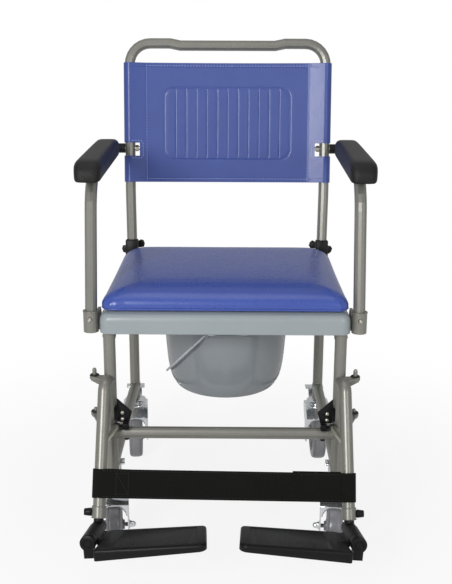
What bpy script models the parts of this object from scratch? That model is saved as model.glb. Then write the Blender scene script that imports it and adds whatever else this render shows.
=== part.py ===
"""Wheeled commode chair: a welded tube frame on four castors, with a lift-off
cushion over a slide-out bucket, a lift-out back frame that carries hinged arms,
and two swing-away leg rests with flip-up footplates.

Metres, +Z up. The sitter faces -Y. "left" is -X, the left side seen from the front.
The origin is the middle of the floor area that the chair covers.
"""

import math

import bmesh
import bpy
from mathutils import Matrix, Vector

# Tubes and clearances
TUBE_R = 0.0111
TUBE_SIDES = 16
WELD_GAP = 0.0004
RUN_GAP = 0.0004
PART_GAP = 0.0006

# Main frame
HALF_TRACK = 0.2115
FRONT_LEG_Y = -0.1266
WHEELBASE = 0.411
LOWER_RAIL_Z = 0.163
LOWER_RAIL_OVERHANG = 0.014
CROSS_TUBE_Z = 0.229
SEAT_BASE_Z = 0.430

# Castors
WHEEL_R = 0.050
WHEEL_STEPS = 24
TYRE_HALF_WIDTH = 0.015
HUB_HALF_WIDTH = 0.0195
AXLE_R = 0.004
AXLE_HALF_LENGTH = 0.033
TRAIL = 0.026
FORK_HALF_WIDTH = 0.028
FORK_WALL = 0.0025
FORK_BACK = 0.025
FORK_AHEAD = 0.021
FORK_EYE_R = 0.012
CROWN_Z = 0.119
CASTOR_TOP = 0.134
STEM_R = 0.0055
STEM_DEPTH = 0.040
PEDAL_HALF_WIDTH = 0.021
PEDAL_PIN_R = 0.002
PEDAL_PIN_BACK = 0.030
PEDAL_PIN_Z = 0.112
PEDAL_REACH = 0.036
PEDAL_RISE = 0.028
CASTOR_TURNS = {"front_left": 6, "front_right": -6, "rear_left": 5, "rear_right": 2}

# Seat moulding, cushion and bucket
SEAT_SIDE_OVERHANG = 0.0147
SEAT_HALF_WIDTH = HALF_TRACK + SEAT_SIDE_OVERHANG
SEAT_FRONT_OVERHANG = 0.025
SEAT_SHORT_OF_REAR_LEG = 0.016
SEAT_DEPTH = SEAT_FRONT_OVERHANG + WHEELBASE - SEAT_SHORT_OF_REAR_LEG
SEAT_CORNER_R = 0.017
SKIRT_HEIGHT = 0.040
SEAT_WALL = 0.004
APERTURE_HALF_WIDTH = 0.100
APERTURE_HALF_DEPTH = 0.120
APERTURE_LIP = 0.028
BUCKET_BEHIND_LEG = 0.190
BUCKET_RIM_Z = SEAT_BASE_Z - 0.027
BUCKET_HEIGHT = 0.1435
BUCKET_TOP_R = 0.124
BUCKET_BASE_R = 0.090
BUCKET_WALL = 0.0025
FLANGE_WIDTH = 0.009
FLANGE_R = BUCKET_TOP_R + FLANGE_WIDTH
FLANGE_THICK = 0.005
RUNNER_LENGTH = 0.255
LEDGE_THICK = 0.004
BAIL_WIRE_R = 0.0022
BAIL_REACH = FLANGE_R + 0.034
BAIL_DROOP = math.radians(45.5)
BAIL_TURN = math.radians(-16.6)
CUSHION_HALF_WIDTH = SEAT_HALF_WIDTH - 0.0022
CUSHION_FRONT_OVERHANG = SEAT_FRONT_OVERHANG - 0.002
CUSHION_DEPTH = SEAT_DEPTH - 0.016
CUSHION_THICK = 0.041

# Back frame and sling
BACK_LEAN = math.radians(8)
BACK_BEND_Z = SEAT_BASE_Z + 0.008
SOCKET_TOP = 0.053
SPIGOT_LENGTH = 0.046
SPIGOT_R = 0.0091
BACK_HALF_WIDTH = HALF_TRACK + 0.002
SPREAD_BELOW_SLING = 0.020
BACK_HEIGHT = 0.930
BACK_CORNER_R = 0.045
BACK_DIP = 0.0045
BACK_DIP_HALF_WIDTH = 0.103
COLLAR_HALF_WIDTH = 0.0135
COLLAR_BELOW = 0.020
COLLAR_ABOVE = 0.018
KNOB_SCREW_R = 0.0030
KNOB_WING_LENGTH = 0.026
KNOB_THICK = 0.009
SLING_HEIGHT = 0.255
SLING_HIGH_Z = BACK_HEIGHT - 0.041
SLING_LOW_Z = SLING_HIGH_Z - SLING_HEIGHT
CLOTH_THICK = 0.0016
SLING_SAG = 0.014
SLING_SEAM_X = BACK_HALF_WIDTH - 0.0365
SLEEVE_WRAP = 125
WINDOW_BELOW_PIVOT = 0.017
WINDOW_ABOVE_PIVOT = 0.012
WINDOW_INNER_X = BACK_HALF_WIDTH - 0.0245

# Arms
ARM_Z = 0.705
ARM_PIVOT_Z = ARM_Z + 0.002
ARM_X = SEAT_HALF_WIDTH + 0.0173
ARM_ELBOW_X = ARM_X - 0.0023
ARM_REAR_X = ARM_X + 0.0095
ARM_ELBOW_BACK = 0.040
ARM_BEND_R = 0.070
ARM_TUBE_FOOT_Z = SEAT_BASE_Z + 0.004
PAD_LENGTH = WHEELBASE - 0.028
PAD_FRONT = -0.020
PAD_WIDTH = 0.049
PAD_TOP_Z = ARM_Z + 0.0345
PAD_UNDER_Z = ARM_Z - 0.0005
LINK_R = 0.0105
LINK_BOSS_R = 0.0127
ARM_BOLT_R = 0.004
SLEEVE_R = 0.0138
SLEEVE_LOW_Z = SEAT_BASE_Z - 0.002
SLEEVE_HIGH_Z = SEAT_BASE_Z + 0.037
PEG_R = 0.005
PEG_BEHIND_LEG = 0.024
PEG_Z = SEAT_BASE_Z + 0.015
HOOK_THICK = 0.005
BUTTON_R = 0.0038
BUTTON_Z = SEAT_BASE_Z + 0.0235
BUTTON_PROUD = 0.004

# Swing-away leg rests
PIN_OUT = 0.029
PIN_R = 0.004
EAR_R = 0.009
EAR_THICK = 0.003
UPPER_EAR_Z = 0.3365
LOWER_EAR_Z = 0.265
UPPER_PIN_RISE = 0.014
LOWER_PIN_RISE = 0.008
HANGER_X = HALF_TRACK + 0.0082
HANGER_SPLAY = math.radians(1)
HANGER_LEAN = math.radians(24)
HANGER_TOP_Z = 0.348
HANGER_BEND_Z = 0.311
HANGER_BEND_FORWARD = 0.037
HANGER_LOW_Z = 0.1175
STEM_BORE_DEPTH = 0.120
CARRIER_STEM_R = 0.0090
CARRIER_STEM_LENGTH = 0.105
CLAMP_R = 0.0128
CLAMP_LENGTH = 0.022
CLAMP_SCREW_R = 0.0026
CLAMP_KNOB_R = 0.0075
CLAMP_KNOB_LENGTH = 0.013
STRUT_R = 0.006
STRUT_PIN_R = 0.003
LATCH_PLATE_THICK = 0.005
STRAP_WIDTH = 0.051
STRAP_THICK = 0.0015
STRAP_SLOPE = math.radians(0.6)
STRAP_SLACK = 0.0013
STRAP_SEWN = 0.055
STRAP_LAP = 0.104
STRAP_MID_Z = 0.1735

# Footplates
FOOT_TILT = math.radians(10)
TOE_OUT = math.radians(5)
FOOT_ROLL = math.radians(5.8)
HINGE_BARREL_R = 0.013
HINGE_SHAFT_R = 0.008
BARREL_END = 0.012
SLEEVE_LENGTH = 0.047
CAP_LENGTH = 0.021
PLATE_DROP = 0.003
PLATE_THICK = 0.019
PLATE_SHELL = 0.004
PLATE_NEAR = 0.021
PLATE_REAR_NEAR = 0.007
PLATE_FAR_REAR = (0.006, 0.1905)
PLATE_FAR_FRONT = (0.104, 0.2035)
PLATE_FRONT_NEAR = (0.1075, 0.0145)
PLATE_TAPER = math.radians(2.3)
PLATE_NEAR_R = 0.004
PLATE_FAR_R = 0.014

SIDES = {"left": -1, "right": 1}
LEG_BOTTOM = CASTOR_TOP + PART_GAP
AXLE_Z = WHEEL_R * math.cos(math.pi / WHEEL_STEPS)
REAR_LEG_Y = FRONT_LEG_Y + WHEELBASE
SEAT_RAIL_Z = SEAT_BASE_Z - TUBE_R - PART_GAP
SEAT_TOP_Z = SEAT_BASE_Z + SKIRT_HEIGHT
SEAT_FRONT_Y = FRONT_LEG_Y - SEAT_FRONT_OVERHANG
BUCKET_Y = FRONT_LEG_Y + BUCKET_BEHIND_LEG
LEAN_UP = Vector((0, math.sin(BACK_LEAN), math.cos(BACK_LEAN)))
LEAN_BACK = Vector((0, math.cos(BACK_LEAN), -math.sin(BACK_LEAN)))


def clear_scene():
    for old in list(bpy.data.objects):
        bpy.data.objects.remove(old, do_unlink=True)


def collection(name):
    group = bpy.data.collections.new(name)
    bpy.context.scene.collection.children.link(group)
    return group


def paint(name, color, roughness, metallic=0.0):
    material = bpy.data.materials.new(name)
    material.use_nodes = True
    shader = material.node_tree.nodes["Principled BSDF"]
    shader.inputs["Base Color"].default_value = (*color, 1.0)
    shader.inputs["Roughness"].default_value = roughness
    shader.inputs["Metallic"].default_value = metallic
    return material


clear_scene()
CHAIR = collection("wheeled_commode_chair")

SILVER_PAINT = paint("silver_grey_paint", (0.36, 0.35, 0.33), 0.38, 0.6)
ZINC = paint("zinc_plate", (0.60, 0.59, 0.55), 0.3, 1.0)
CHROME = paint("chrome", (0.75, 0.76, 0.78), 0.12, 1.0)
BLACK_PLASTIC = paint("black_plastic", (0.012, 0.012, 0.013), 0.45)
BLACK_FOAM = paint("black_skin_foam", (0.018, 0.018, 0.02), 0.6)
BLUE_VINYL = paint("blue_vinyl", (0.065, 0.110, 0.440), 0.35)
SEAT_PLASTIC = paint("light_grey_plastic", (0.40, 0.44, 0.46), 0.35)
BUCKET_PLASTIC = paint("grey_plastic", (0.21, 0.23, 0.24), 0.3)
CLEAR_PLASTIC = paint("pale_plastic", (0.62, 0.64, 0.66), 0.3)
TYRE_RUBBER = paint("grey_rubber", (0.17, 0.17, 0.18), 0.6)
WEBBING = paint("black_webbing", (0.009, 0.009, 0.009), 0.85)


def new_object(name, mesh):
    thing = bpy.data.objects.new(name, mesh)
    CHAIR.objects.link(thing)
    return thing


def object_from_bmesh(name, bm):
    mesh = bpy.data.meshes.new(name)
    bm.to_mesh(mesh)
    bm.free()
    return new_object(name, mesh)


def frame_matrix(origin, x_axis, z_axis):
    """A placement whose local X and Z point along the two given directions."""
    z = Vector(z_axis).normalized()
    x = Vector(x_axis)
    x = (x - x.dot(z) * z).normalized()
    y = z.cross(x)
    matrix = Matrix((x, y, z)).transposed().to_4x4()
    matrix.translation = Vector(origin)
    return matrix


def cylinder(name, radius, start, end, sides=TUBE_SIDES, end_radius=None):
    start = Vector(start)
    end = Vector(end)
    along = end - start
    bm = bmesh.new()
    bmesh.ops.create_cone(
        bm,
        cap_ends=True,
        segments=sides,
        radius1=radius,
        radius2=radius if end_radius is None else end_radius,
        depth=along.length,
    )
    side_axis = (1, 0, 0) if abs(along.normalized().x) < 0.9 else (0, 1, 0)
    bm.transform(frame_matrix((start + end) / 2, side_axis, along))
    return object_from_bmesh(name, bm)


def box(name, low, high, matrix=None):
    low = Vector(low)
    high = Vector(high)
    bm = bmesh.new()
    bmesh.ops.create_cube(bm, size=1)
    size = Matrix.Diagonal((*(high - low), 1))
    bm.transform(Matrix.Translation((low + high) / 2) @ size)
    if matrix is not None:
        bm.transform(matrix)
    return object_from_bmesh(name, bm)


def as_mesh(thing):
    """Replace a curve, or an object with modifiers, by its evaluated mesh."""
    bpy.context.view_layer.update()
    graph = bpy.context.evaluated_depsgraph_get()
    mesh = bpy.data.meshes.new_from_object(thing.evaluated_get(graph))
    bm = bmesh.new()
    bm.from_mesh(mesh)
    bm.transform(thing.matrix_world)
    bmesh.ops.remove_doubles(bm, verts=bm.verts, dist=0.000001)
    bmesh.ops.recalc_face_normals(bm, faces=bm.faces)
    bm.to_mesh(mesh)
    bm.free()
    name = thing.name
    bpy.data.objects.remove(thing, do_unlink=True)
    return new_object(name, mesh)


def prism(name, outlines, depth, matrix):
    """An outline, and any holes in it, filled and extruded both ways from its plane."""
    curve = bpy.data.curves.new(name, "CURVE")
    curve.dimensions = "2D"
    curve.fill_mode = "BOTH"
    curve.extrude = depth / 2
    for outline in outlines:
        spline = curve.splines.new("POLY")
        spline.points.add(len(outline) - 1)
        spline.use_cyclic_u = True
        for point, (x, y) in zip(spline.points, outline):
            point.co = (x, y, 0, 1)
    thing = new_object(name, curve)
    thing.matrix_world = matrix
    return as_mesh(thing)


def tube(name, points, radius, resolution=4):
    curve = bpy.data.curves.new(name, "CURVE")
    curve.dimensions = "3D"
    curve.bevel_depth = radius
    curve.bevel_resolution = resolution
    curve.use_fill_caps = True
    spline = curve.splines.new("POLY")
    spline.points.add(len(points) - 1)
    for point, place in zip(spline.points, points):
        point.co = (*place, 1)
    return as_mesh(new_object(name, curve))


def loft(name, rings, matrix):
    """A skin over rings of equally many points, closed by a cap at each end."""
    bm = bmesh.new()
    rows = [[bm.verts.new(place) for place in ring] for ring in rings]
    count = len(rings[0])
    for row, following in zip(rows, rows[1:]):
        for i in range(count):
            j = (i + 1) % count
            bm.faces.new([row[i], row[j], following[j], following[i]])
    bm.faces.new(rows[0])
    bm.faces.new(rows[-1])
    bmesh.ops.recalc_face_normals(bm, faces=bm.faces)
    bm.transform(matrix)
    return object_from_bmesh(name, bm)


def turned(name, profile, steps, matrix):
    """A profile of (radius, height) points, top to bottom, turned about local Z."""
    mesh = bpy.data.meshes.new(name)
    points = [(radius, 0, height) for radius, height in profile]
    edges = [(i, i + 1) for i in range(len(points) - 1)]
    if profile[0][0] > 0:
        edges.append((len(points) - 1, 0))
    mesh.from_pydata(points, edges, [])
    thing = new_object(name, mesh)
    thing.matrix_world = matrix
    screw = thing.modifiers.new("turn", "SCREW")
    screw.axis = "Z"
    screw.steps = steps
    screw.render_steps = steps
    screw.use_merge_vertices = True
    screw.merge_threshold = 0.00001
    return as_mesh(thing)


def domed_pin(name, radius, start, end, dome, steps=12):
    """A round pin whose far end is chamfered."""
    along = Vector(end) - Vector(start)
    length = along.length
    side_axis = (1, 0, 0) if abs(along.normalized().x) < 0.9 else (0, 1, 0)
    profile = [(0, length), (radius * 0.6, length), (radius, length - dome), (radius, 0), (0, 0)]
    return turned(name, profile, steps, frame_matrix(start, side_axis, along))


def combine(thing, other, operation):
    """Join or cut with a second solid, which is used up."""
    change = thing.modifiers.new(operation.lower(), "BOOLEAN")
    change.operation = operation
    change.solver = "EXACT"
    change.object = other
    result = as_mesh(thing)
    bpy.data.objects.remove(other, do_unlink=True)
    return result


def join(thing, *others):
    for other in others:
        thing = combine(thing, other, "UNION")
    return thing


def cut(thing, *others):
    for other in others:
        thing = combine(thing, other, "DIFFERENCE")
    return thing


def bevel(thing, width, segments=2, angle=40):
    rounding = thing.modifiers.new("bevel", "BEVEL")
    rounding.width = width
    rounding.segments = segments
    rounding.limit_method = "ANGLE"
    rounding.angle_limit = math.radians(angle)
    return as_mesh(thing)


def finish(thing, material, parent=None):
    thing.data.materials.clear()
    thing.data.materials.append(material)
    thing.data.shade_smooth()
    thing.data.set_sharp_from_angle(angle=math.radians(35))
    if parent is not None:
        bpy.context.view_layer.update()
        thing.parent = parent
        thing.matrix_parent_inverse = parent.matrix_world.inverted()
    return thing


def pivot(name, place, parent=None):
    """An empty on a joint's axis, which the pieces that turn there hang on."""
    empty = bpy.data.objects.new(name, None)
    empty.empty_display_size = 0.02
    CHAIR.objects.link(empty)
    empty.location = place
    bpy.context.view_layer.update()
    if parent is not None:
        empty.parent = parent
        empty.matrix_parent_inverse = parent.matrix_world.inverted()
        bpy.context.view_layer.update()
    return empty


def arc(center, radius, start, end, count):
    """Points on a circle between two angles in degrees."""
    points = []
    for i in range(count + 1):
        angle = math.radians(start + (end - start) * i / count)
        points.append((center[0] + radius * math.cos(angle), center[1] + radius * math.sin(angle)))
    return points


def rounded_path(corners, radius, count=6):
    """A run of straight lines whose inner corners are turned into arcs."""
    corners = [Vector(corner) for corner in corners]
    points = [corners[0]]
    for before, corner, after in zip(corners, corners[1:], corners[2:]):
        back = (before - corner).normalized()
        ahead = (after - corner).normalized()
        half = back.angle(ahead) / 2
        reach = radius / math.tan(half)
        middle = corner + (back + ahead).normalized() * radius / math.sin(half)
        first = corner + back * reach - middle
        last = corner + ahead * reach - middle
        for i in range(count + 1):
            points.append(middle + first.slerp(last, i / count, first).normalized() * radius)
    points.append(corners[-1])
    return points


def rounded_rectangle(low, high, radius, count=5):
    (x0, y0), (x1, y1) = low, high
    points = arc((x1 - radius, y1 - radius), radius, 0, 90, count)
    points += arc((x0 + radius, y1 - radius), radius, 90, 180, count)
    points += arc((x0 + radius, y0 + radius), radius, 180, 270, count)
    points += arc((x1 - radius, y0 + radius), radius, 270, 360, count)
    return points


def flat(height):
    return Matrix.Translation((0, 0, height))


def back_place(x, up, behind=0.0):
    """A point beside the back frame's leaning axis, measured from its bend."""
    return Vector((x, REAR_LEG_Y, BACK_BEND_Z)) + LEAN_UP * up + LEAN_BACK * behind


def up_the_back(height):
    return (height - BACK_BEND_Z) / math.cos(BACK_LEAN)


def leg_cutter(side, y, low, high, gap=WELD_GAP):
    x = side * HALF_TRACK
    return cylinder("cutter", TUBE_R + gap, (x, y, low), (x, y, high))


def stem_bore(side, y):
    x = side * HALF_TRACK
    depth = STEM_DEPTH + 0.002
    start = (x, y, LEG_BOTTOM - 0.01)
    return cylinder("cutter", STEM_R + 0.0007, start, (x, y, LEG_BOTTOM + depth), 12)


# Main frame

def front_leg(name, side):
    x = side * HALF_TRACK
    pin_x = side * (HALF_TRACK + PIN_OUT)
    top = SEAT_RAIL_Z + TUBE_R
    leg = cylinder(f"front_leg_{name}", TUBE_R, (x, FRONT_LEG_Y, LEG_BOTTOM), (x, FRONT_LEG_Y, top))
    upright = frame_matrix((0, FRONT_LEG_Y, 0), (1, 0, 0), (0, -1, 0))
    for ear_z, pin_rise in ((UPPER_EAR_Z, UPPER_PIN_RISE), (LOWER_EAR_Z, LOWER_PIN_RISE)):
        ear_top = ear_z + EAR_THICK
        low = (min(x, pin_x), FRONT_LEG_Y - EAR_R, ear_z)
        high = (max(x, pin_x), FRONT_LEG_Y + EAR_R, ear_top)
        ear_end = cylinder("end", EAR_R, (pin_x, FRONT_LEG_Y, ear_z), (pin_x, FRONT_LEG_Y, ear_top), 12)
        pin_top = ear_top + EAR_THICK + pin_rise
        pin_low = (pin_x, FRONT_LEG_Y, ear_z + 0.001)
        pin = domed_pin("pin", PIN_R, pin_low, (pin_x, FRONT_LEG_Y, pin_top), 0.003)
        outer = side * (HALF_TRACK + PIN_OUT + EAR_R - 0.002)
        gusset_line = [(x, ear_z + 0.001), (outer, ear_z + 0.001)]
        gusset_line += [(outer, ear_z - 0.004), (x, ear_z - 0.024)]
        gusset = prism("gusset", [gusset_line], 0.0028, upright)
        leg = join(leg, box("ear", low, high), ear_end, gusset, pin)
    leg = cut(leg, stem_bore(side, FRONT_LEG_Y))
    return finish(leg, SILVER_PAINT)


def rear_leg(name, side):
    x = side * HALF_TRACK
    corners = [(x, REAR_LEG_Y, LOWER_RAIL_Z), (x, REAR_LEG_Y, BACK_BEND_Z), back_place(x, SOCKET_TOP)]
    leg = tube(f"rear_leg_{name}", rounded_path(corners, 0.060, 4), TUBE_R, 4)
    rail_space = cylinder(
        "cutter",
        TUBE_R + WELD_GAP,
        (x, REAR_LEG_Y - 0.04, LOWER_RAIL_Z),
        (x, REAR_LEG_Y + 0.04, LOWER_RAIL_Z),
    )
    socket = cylinder(
        "cutter",
        SPIGOT_R + RUN_GAP,
        back_place(x, SOCKET_TOP - SPIGOT_LENGTH - 0.003),
        back_place(x, SOCKET_TOP + 0.01),
    )
    leg = cut(leg, rail_space, socket, stem_bore(side, REAR_LEG_Y))
    return finish(leg, SILVER_PAINT)


def lower_rail(name, side):
    x = side * HALF_TRACK
    start = (x, FRONT_LEG_Y, LOWER_RAIL_Z)
    end = (x, REAR_LEG_Y + LOWER_RAIL_OVERHANG, LOWER_RAIL_Z)
    rail = cylinder(f"lower_rail_{name}", TUBE_R, start, end)
    stub = cylinder("stub", TUBE_R, (x, REAR_LEG_Y, LEG_BOTTOM), (x, REAR_LEG_Y, LOWER_RAIL_Z))
    rail = join(rail, stub)
    rail = cut(rail, leg_cutter(side, FRONT_LEG_Y, LEG_BOTTOM, CROSS_TUBE_Z), stem_bore(side, REAR_LEG_Y))
    return finish(rail, SILVER_PAINT)


def seat_rail(name, side):
    x = side * HALF_TRACK
    peg_y = FRONT_LEG_Y + PEG_BEHIND_LEG
    rail = cylinder(f"seat_rail_{name}", TUBE_R, (x, FRONT_LEG_Y, SEAT_RAIL_Z), (x, REAR_LEG_Y, SEAT_RAIL_Z))
    low_x, high_x = sorted((x - side * 0.002, x + side * 0.003))
    lug = box("lug", (low_x, peg_y - 0.008, SEAT_RAIL_Z + 0.003), (high_x, peg_y + 0.008, PEG_Z + 0.008))
    peg_end = side * (SEAT_HALF_WIDTH + 0.0025 + HOOK_THICK + 0.002)
    peg = cylinder("peg", PEG_R, (x, peg_y, PEG_Z), (peg_end, peg_y, PEG_Z), 12)
    rail = join(rail, lug, peg)
    low, high = SEAT_RAIL_Z - 0.03, SEAT_BASE_Z + 0.03
    rail = cut(rail, leg_cutter(side, FRONT_LEG_Y, low, high))
    rail = cut(rail, leg_cutter(side, REAR_LEG_Y, low, BACK_BEND_Z))
    return finish(rail, SILVER_PAINT)


def cross_tube(name, y, z):
    low, high = z - 0.03, z + 0.03
    start = (-HALF_TRACK, y, z)
    bar = cylinder(name, TUBE_R, start, (HALF_TRACK, y, z))
    bar = cut(bar, leg_cutter(-1, y, low, high), leg_cutter(1, y, low, high))
    if z == SEAT_RAIL_Z:
        for side in (-1, 1):
            x = side * HALF_TRACK
            bar = cut(bar, cylinder("rail_space", TUBE_R + WELD_GAP, (x, y - 0.05, z), (x, y + 0.05, z)))
    return finish(bar, SILVER_PAINT)


# Castors: one set of meshes at the swivel axis, used four times

def castor_fork_mesh():
    side_view = frame_matrix((0, 0, 0), (0, -1, 0), (-1, 0, 0))
    under = CROWN_Z - 0.003
    rear = -FORK_BACK
    reach = TRAIL + FORK_AHEAD
    cheek = [(rear, CROWN_Z), (rear, CROWN_Z - 0.015), (0.004, AXLE_Z + 0.028), (TRAIL - FORK_EYE_R, AXLE_Z)]
    cheek += arc((TRAIL, AXLE_Z), FORK_EYE_R, 200, 340, 4)
    cheek += [(TRAIL + FORK_EYE_R + 0.001, AXLE_Z + 0.006), (reach - 0.002, AXLE_Z + 0.030)]
    cheek += [(reach, CROWN_Z - 0.019), (reach - 0.007, CROWN_Z - 0.009), (reach - 0.020, CROWN_Z)]
    fork = prism("castor_fork", [cheek], 2 * FORK_HALF_WIDTH, side_view)
    inner = FORK_HALF_WIDTH - FORK_WALL
    wall = FORK_WALL
    room = [(rear + wall, 0), (rear + wall, under), (reach - 0.019 - wall, under)]
    room += [(reach - 0.007 - wall, CROWN_Z - 0.011), (reach - wall, CROWN_Z - 0.020), (reach - wall, 0)]
    fork = cut(fork, prism("room", [room], 2 * inner, side_view))
    half = inner - 0.002
    arch = arc((0, AXLE_Z + 0.0252), half, 0, 180, 8) + [(-half, 0), (half, 0)]
    front_view = frame_matrix((0, -reach + 0.002, 0), (1, 0, 0), (0, -1, 0))
    fork = cut(fork, prism("arch", [arch], 0.012, front_view))
    dome = [(0.0, CASTOR_TOP), (0.011, CASTOR_TOP), (0.013, CASTOR_TOP - 0.003)]
    dome += [(0.022, CASTOR_TOP - 0.006), (0.0265, CROWN_Z - 0.002), (0.0, CROWN_Z - 0.002)]
    head = turned("head", dome, 16, Matrix())
    stem = cylinder("stem", STEM_R, (0, 0, CROWN_Z), (0, 0, LEG_BOTTOM + STEM_DEPTH), 12)
    axle_end = Vector((AXLE_HALF_LENGTH, -TRAIL, AXLE_Z))
    axle = cylinder("axle", AXLE_R, axle_end - Vector((2 * AXLE_HALF_LENGTH, 0, 0)), axle_end, 12)
    fork = join(fork, head, stem, axle)
    for side in (-1, 1):
        nut_in = side * (FORK_HALF_WIDTH - 0.001)
        nut_out = nut_in + side * 0.0055
        nut = cylinder("nut", 0.0075, (nut_in, -TRAIL, AXLE_Z), (nut_out, -TRAIL, AXLE_Z), 6)
        ear_x = sorted((side * 0.0165, side * 0.019))
        ear_low = (ear_x[0], 0.020, PEDAL_PIN_Z - 0.007)
        ear = box("ear", ear_low, (ear_x[1], PEDAL_PIN_BACK + 0.005, PEDAL_PIN_Z + 0.007))
        fork = join(fork, nut, ear)
    pin_end = Vector((0.018, PEDAL_PIN_BACK, PEDAL_PIN_Z))
    pin = cylinder("pin", PEDAL_PIN_R, pin_end - Vector((0.036, 0, 0)), pin_end, 8)
    return join(fork, pin)


def castor_wheel_mesh():
    bore = AXLE_R + RUN_GAP
    tyre = TYRE_HALF_WIDTH
    hub = HUB_HALF_WIDTH
    half = [(bore, hub), (0.011, hub), (0.012, 0.008), (0.032, 0.008)]
    half += [(WHEEL_R - 0.0155, tyre), (WHEEL_R - 0.006, tyre), (WHEEL_R, 0.007)]
    profile = half + [(radius, -height) for radius, height in reversed(half)]
    spin_axis = frame_matrix((0, 0, 0), (0, 0, 1), (1, 0, 0))
    half_step = Matrix.Rotation(math.pi / WHEEL_STEPS, 4, "X")
    return turned("castor_wheel", profile, WHEEL_STEPS, half_step @ spin_axis)


def brake_pedal_mesh():
    barrel = cylinder("brake_pedal", 0.0045, (-0.0155, 0, 0), (0.0155, 0, 0), 12)
    plate_view = frame_matrix((0, 0, 0), (0, 1, 0), (1, 0, 0))
    arm = [(0.001, 0.001), (0.008, 0.0045), (PEDAL_REACH, PEDAL_RISE - 0.004), (PEDAL_REACH, PEDAL_RISE)]
    arm += [(PEDAL_REACH - 0.012, PEDAL_RISE - 0.001), (0.001, 0.0042)]
    neck = prism("neck", [arm], 0.029, plate_view)
    pad = box(
        "pad",
        (-PEDAL_HALF_WIDTH, PEDAL_REACH - 0.016, PEDAL_RISE - 0.003),
        (PEDAL_HALF_WIDTH, PEDAL_REACH + 0.006, PEDAL_RISE + 0.0005),
    )
    pedal = join(barrel, neck, pad)
    return cut(pedal, cylinder("bore", PEDAL_PIN_R + RUN_GAP, (-0.02, 0, 0), (0.02, 0, 0), 12))


def castors():
    fork_mesh = finish(castor_fork_mesh(), CHROME)
    wheel_mesh = finish(castor_wheel_mesh(), TYRE_RUBBER)
    pedal_mesh = finish(brake_pedal_mesh(), CHROME)
    for corner, turn in CASTOR_TURNS.items():
        x = SIDES[corner.split("_")[1]] * HALF_TRACK
        y = FRONT_LEG_Y if corner.startswith("front") else REAR_LEG_Y
        fork = new_object(f"castor_fork_{corner}", fork_mesh.data)
        fork.location = (x, y, 0)
        fork.rotation_euler = (0, 0, math.radians(turn))
        wheel = new_object(f"castor_wheel_{corner}", wheel_mesh.data)
        wheel.parent = fork
        wheel.location = (0, -TRAIL, AXLE_Z)
        pedal = new_object(f"brake_pedal_{corner}", pedal_mesh.data)
        pedal.parent = fork
        pedal.location = (0, PEDAL_PIN_BACK, PEDAL_PIN_Z)
    for pattern in (fork_mesh, wheel_mesh, pedal_mesh):
        bpy.data.objects.remove(pattern, do_unlink=True)


# Seat, cushion and bucket

def ellipse(center_y, half_width, half_depth, count=28):
    points = []
    for i in range(count):
        angle = 2 * math.pi * i / count
        points.append((half_width * math.cos(angle), center_y + half_depth * math.sin(angle)))
    return points


def seat_moulding():
    front = SEAT_FRONT_Y
    rear = front + SEAT_DEPTH
    outer = rounded_rectangle((-SEAT_HALF_WIDTH, front), (SEAT_HALF_WIDTH, rear), SEAT_CORNER_R)
    tall = SKIRT_HEIGHT + 0.020
    seat = prism("seat_moulding", [outer], tall, flat(SEAT_TOP_Z - tall / 2))
    seat = bevel(seat, 0.008, 3, 60)
    seat = cut(seat, box("base", (-0.3, front - 0.1, SEAT_BASE_Z - 0.05), (0.3, rear + 0.1, SEAT_BASE_Z)))
    wall = SEAT_WALL
    inner = rounded_rectangle(
        (-SEAT_HALF_WIDTH + wall, front + wall), (SEAT_HALF_WIDTH - wall, rear - wall), SEAT_CORNER_R - wall
    )
    hollow = prism("hollow", [inner], 0.060, flat(SEAT_TOP_Z - wall - 0.030))
    seat = cut(seat, bevel(hollow, 0.006, 2, 60))
    lip_center = SEAT_TOP_Z - wall / 2 - APERTURE_LIP / 2
    lip_outer = ellipse(BUCKET_Y, APERTURE_HALF_WIDTH + 0.003, APERTURE_HALF_DEPTH + 0.003)
    seat = join(seat, prism("lip", [lip_outer], APERTURE_LIP, flat(lip_center)))
    web_in = FLANGE_R + 0.0015
    web_out = web_in + wall
    ledge_in = BUCKET_TOP_R + 0.0025
    ledge_top = BUCKET_RIM_Z - FLANGE_THICK - RUN_GAP
    runner_rear = rear - wall / 2
    runner_front = runner_rear - RUNNER_LENGTH
    for side in (-1, 1):
        web_x = sorted((side * web_in, side * web_out))
        ledge_x = sorted((side * ledge_in, side * (web_out - 0.0005)))
        runner_low = ledge_top - LEDGE_THICK
        web_top = SEAT_TOP_Z - SEAT_WALL / 2
        web = box("web", (web_x[0], runner_front, runner_low), (web_x[1], runner_rear, web_top))
        ledge = box("ledge", (ledge_x[0], runner_front, runner_low), (ledge_x[1], runner_rear, ledge_top))
        seat = join(seat, web, ledge)
        peg_y = FRONT_LEG_Y + PEG_BEHIND_LEG
        half_slot = PEG_R + 0.0015
        slot_x = sorted((side * (SEAT_HALF_WIDTH - 0.012), side * (SEAT_HALF_WIDTH + 0.01)))
        slot_low = (slot_x[0], peg_y - half_slot, SEAT_BASE_Z - 0.01)
        seat = cut(seat, box("slot", slot_low, (slot_x[1], peg_y + half_slot, PEG_Z + half_slot)))
    opening = ellipse(BUCKET_Y, APERTURE_HALF_WIDTH, APERTURE_HALF_DEPTH)
    seat = cut(seat, prism("opening", [opening], 4 * APERTURE_LIP, flat(SEAT_TOP_Z)))
    return finish(seat, SEAT_PLASTIC)


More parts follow.
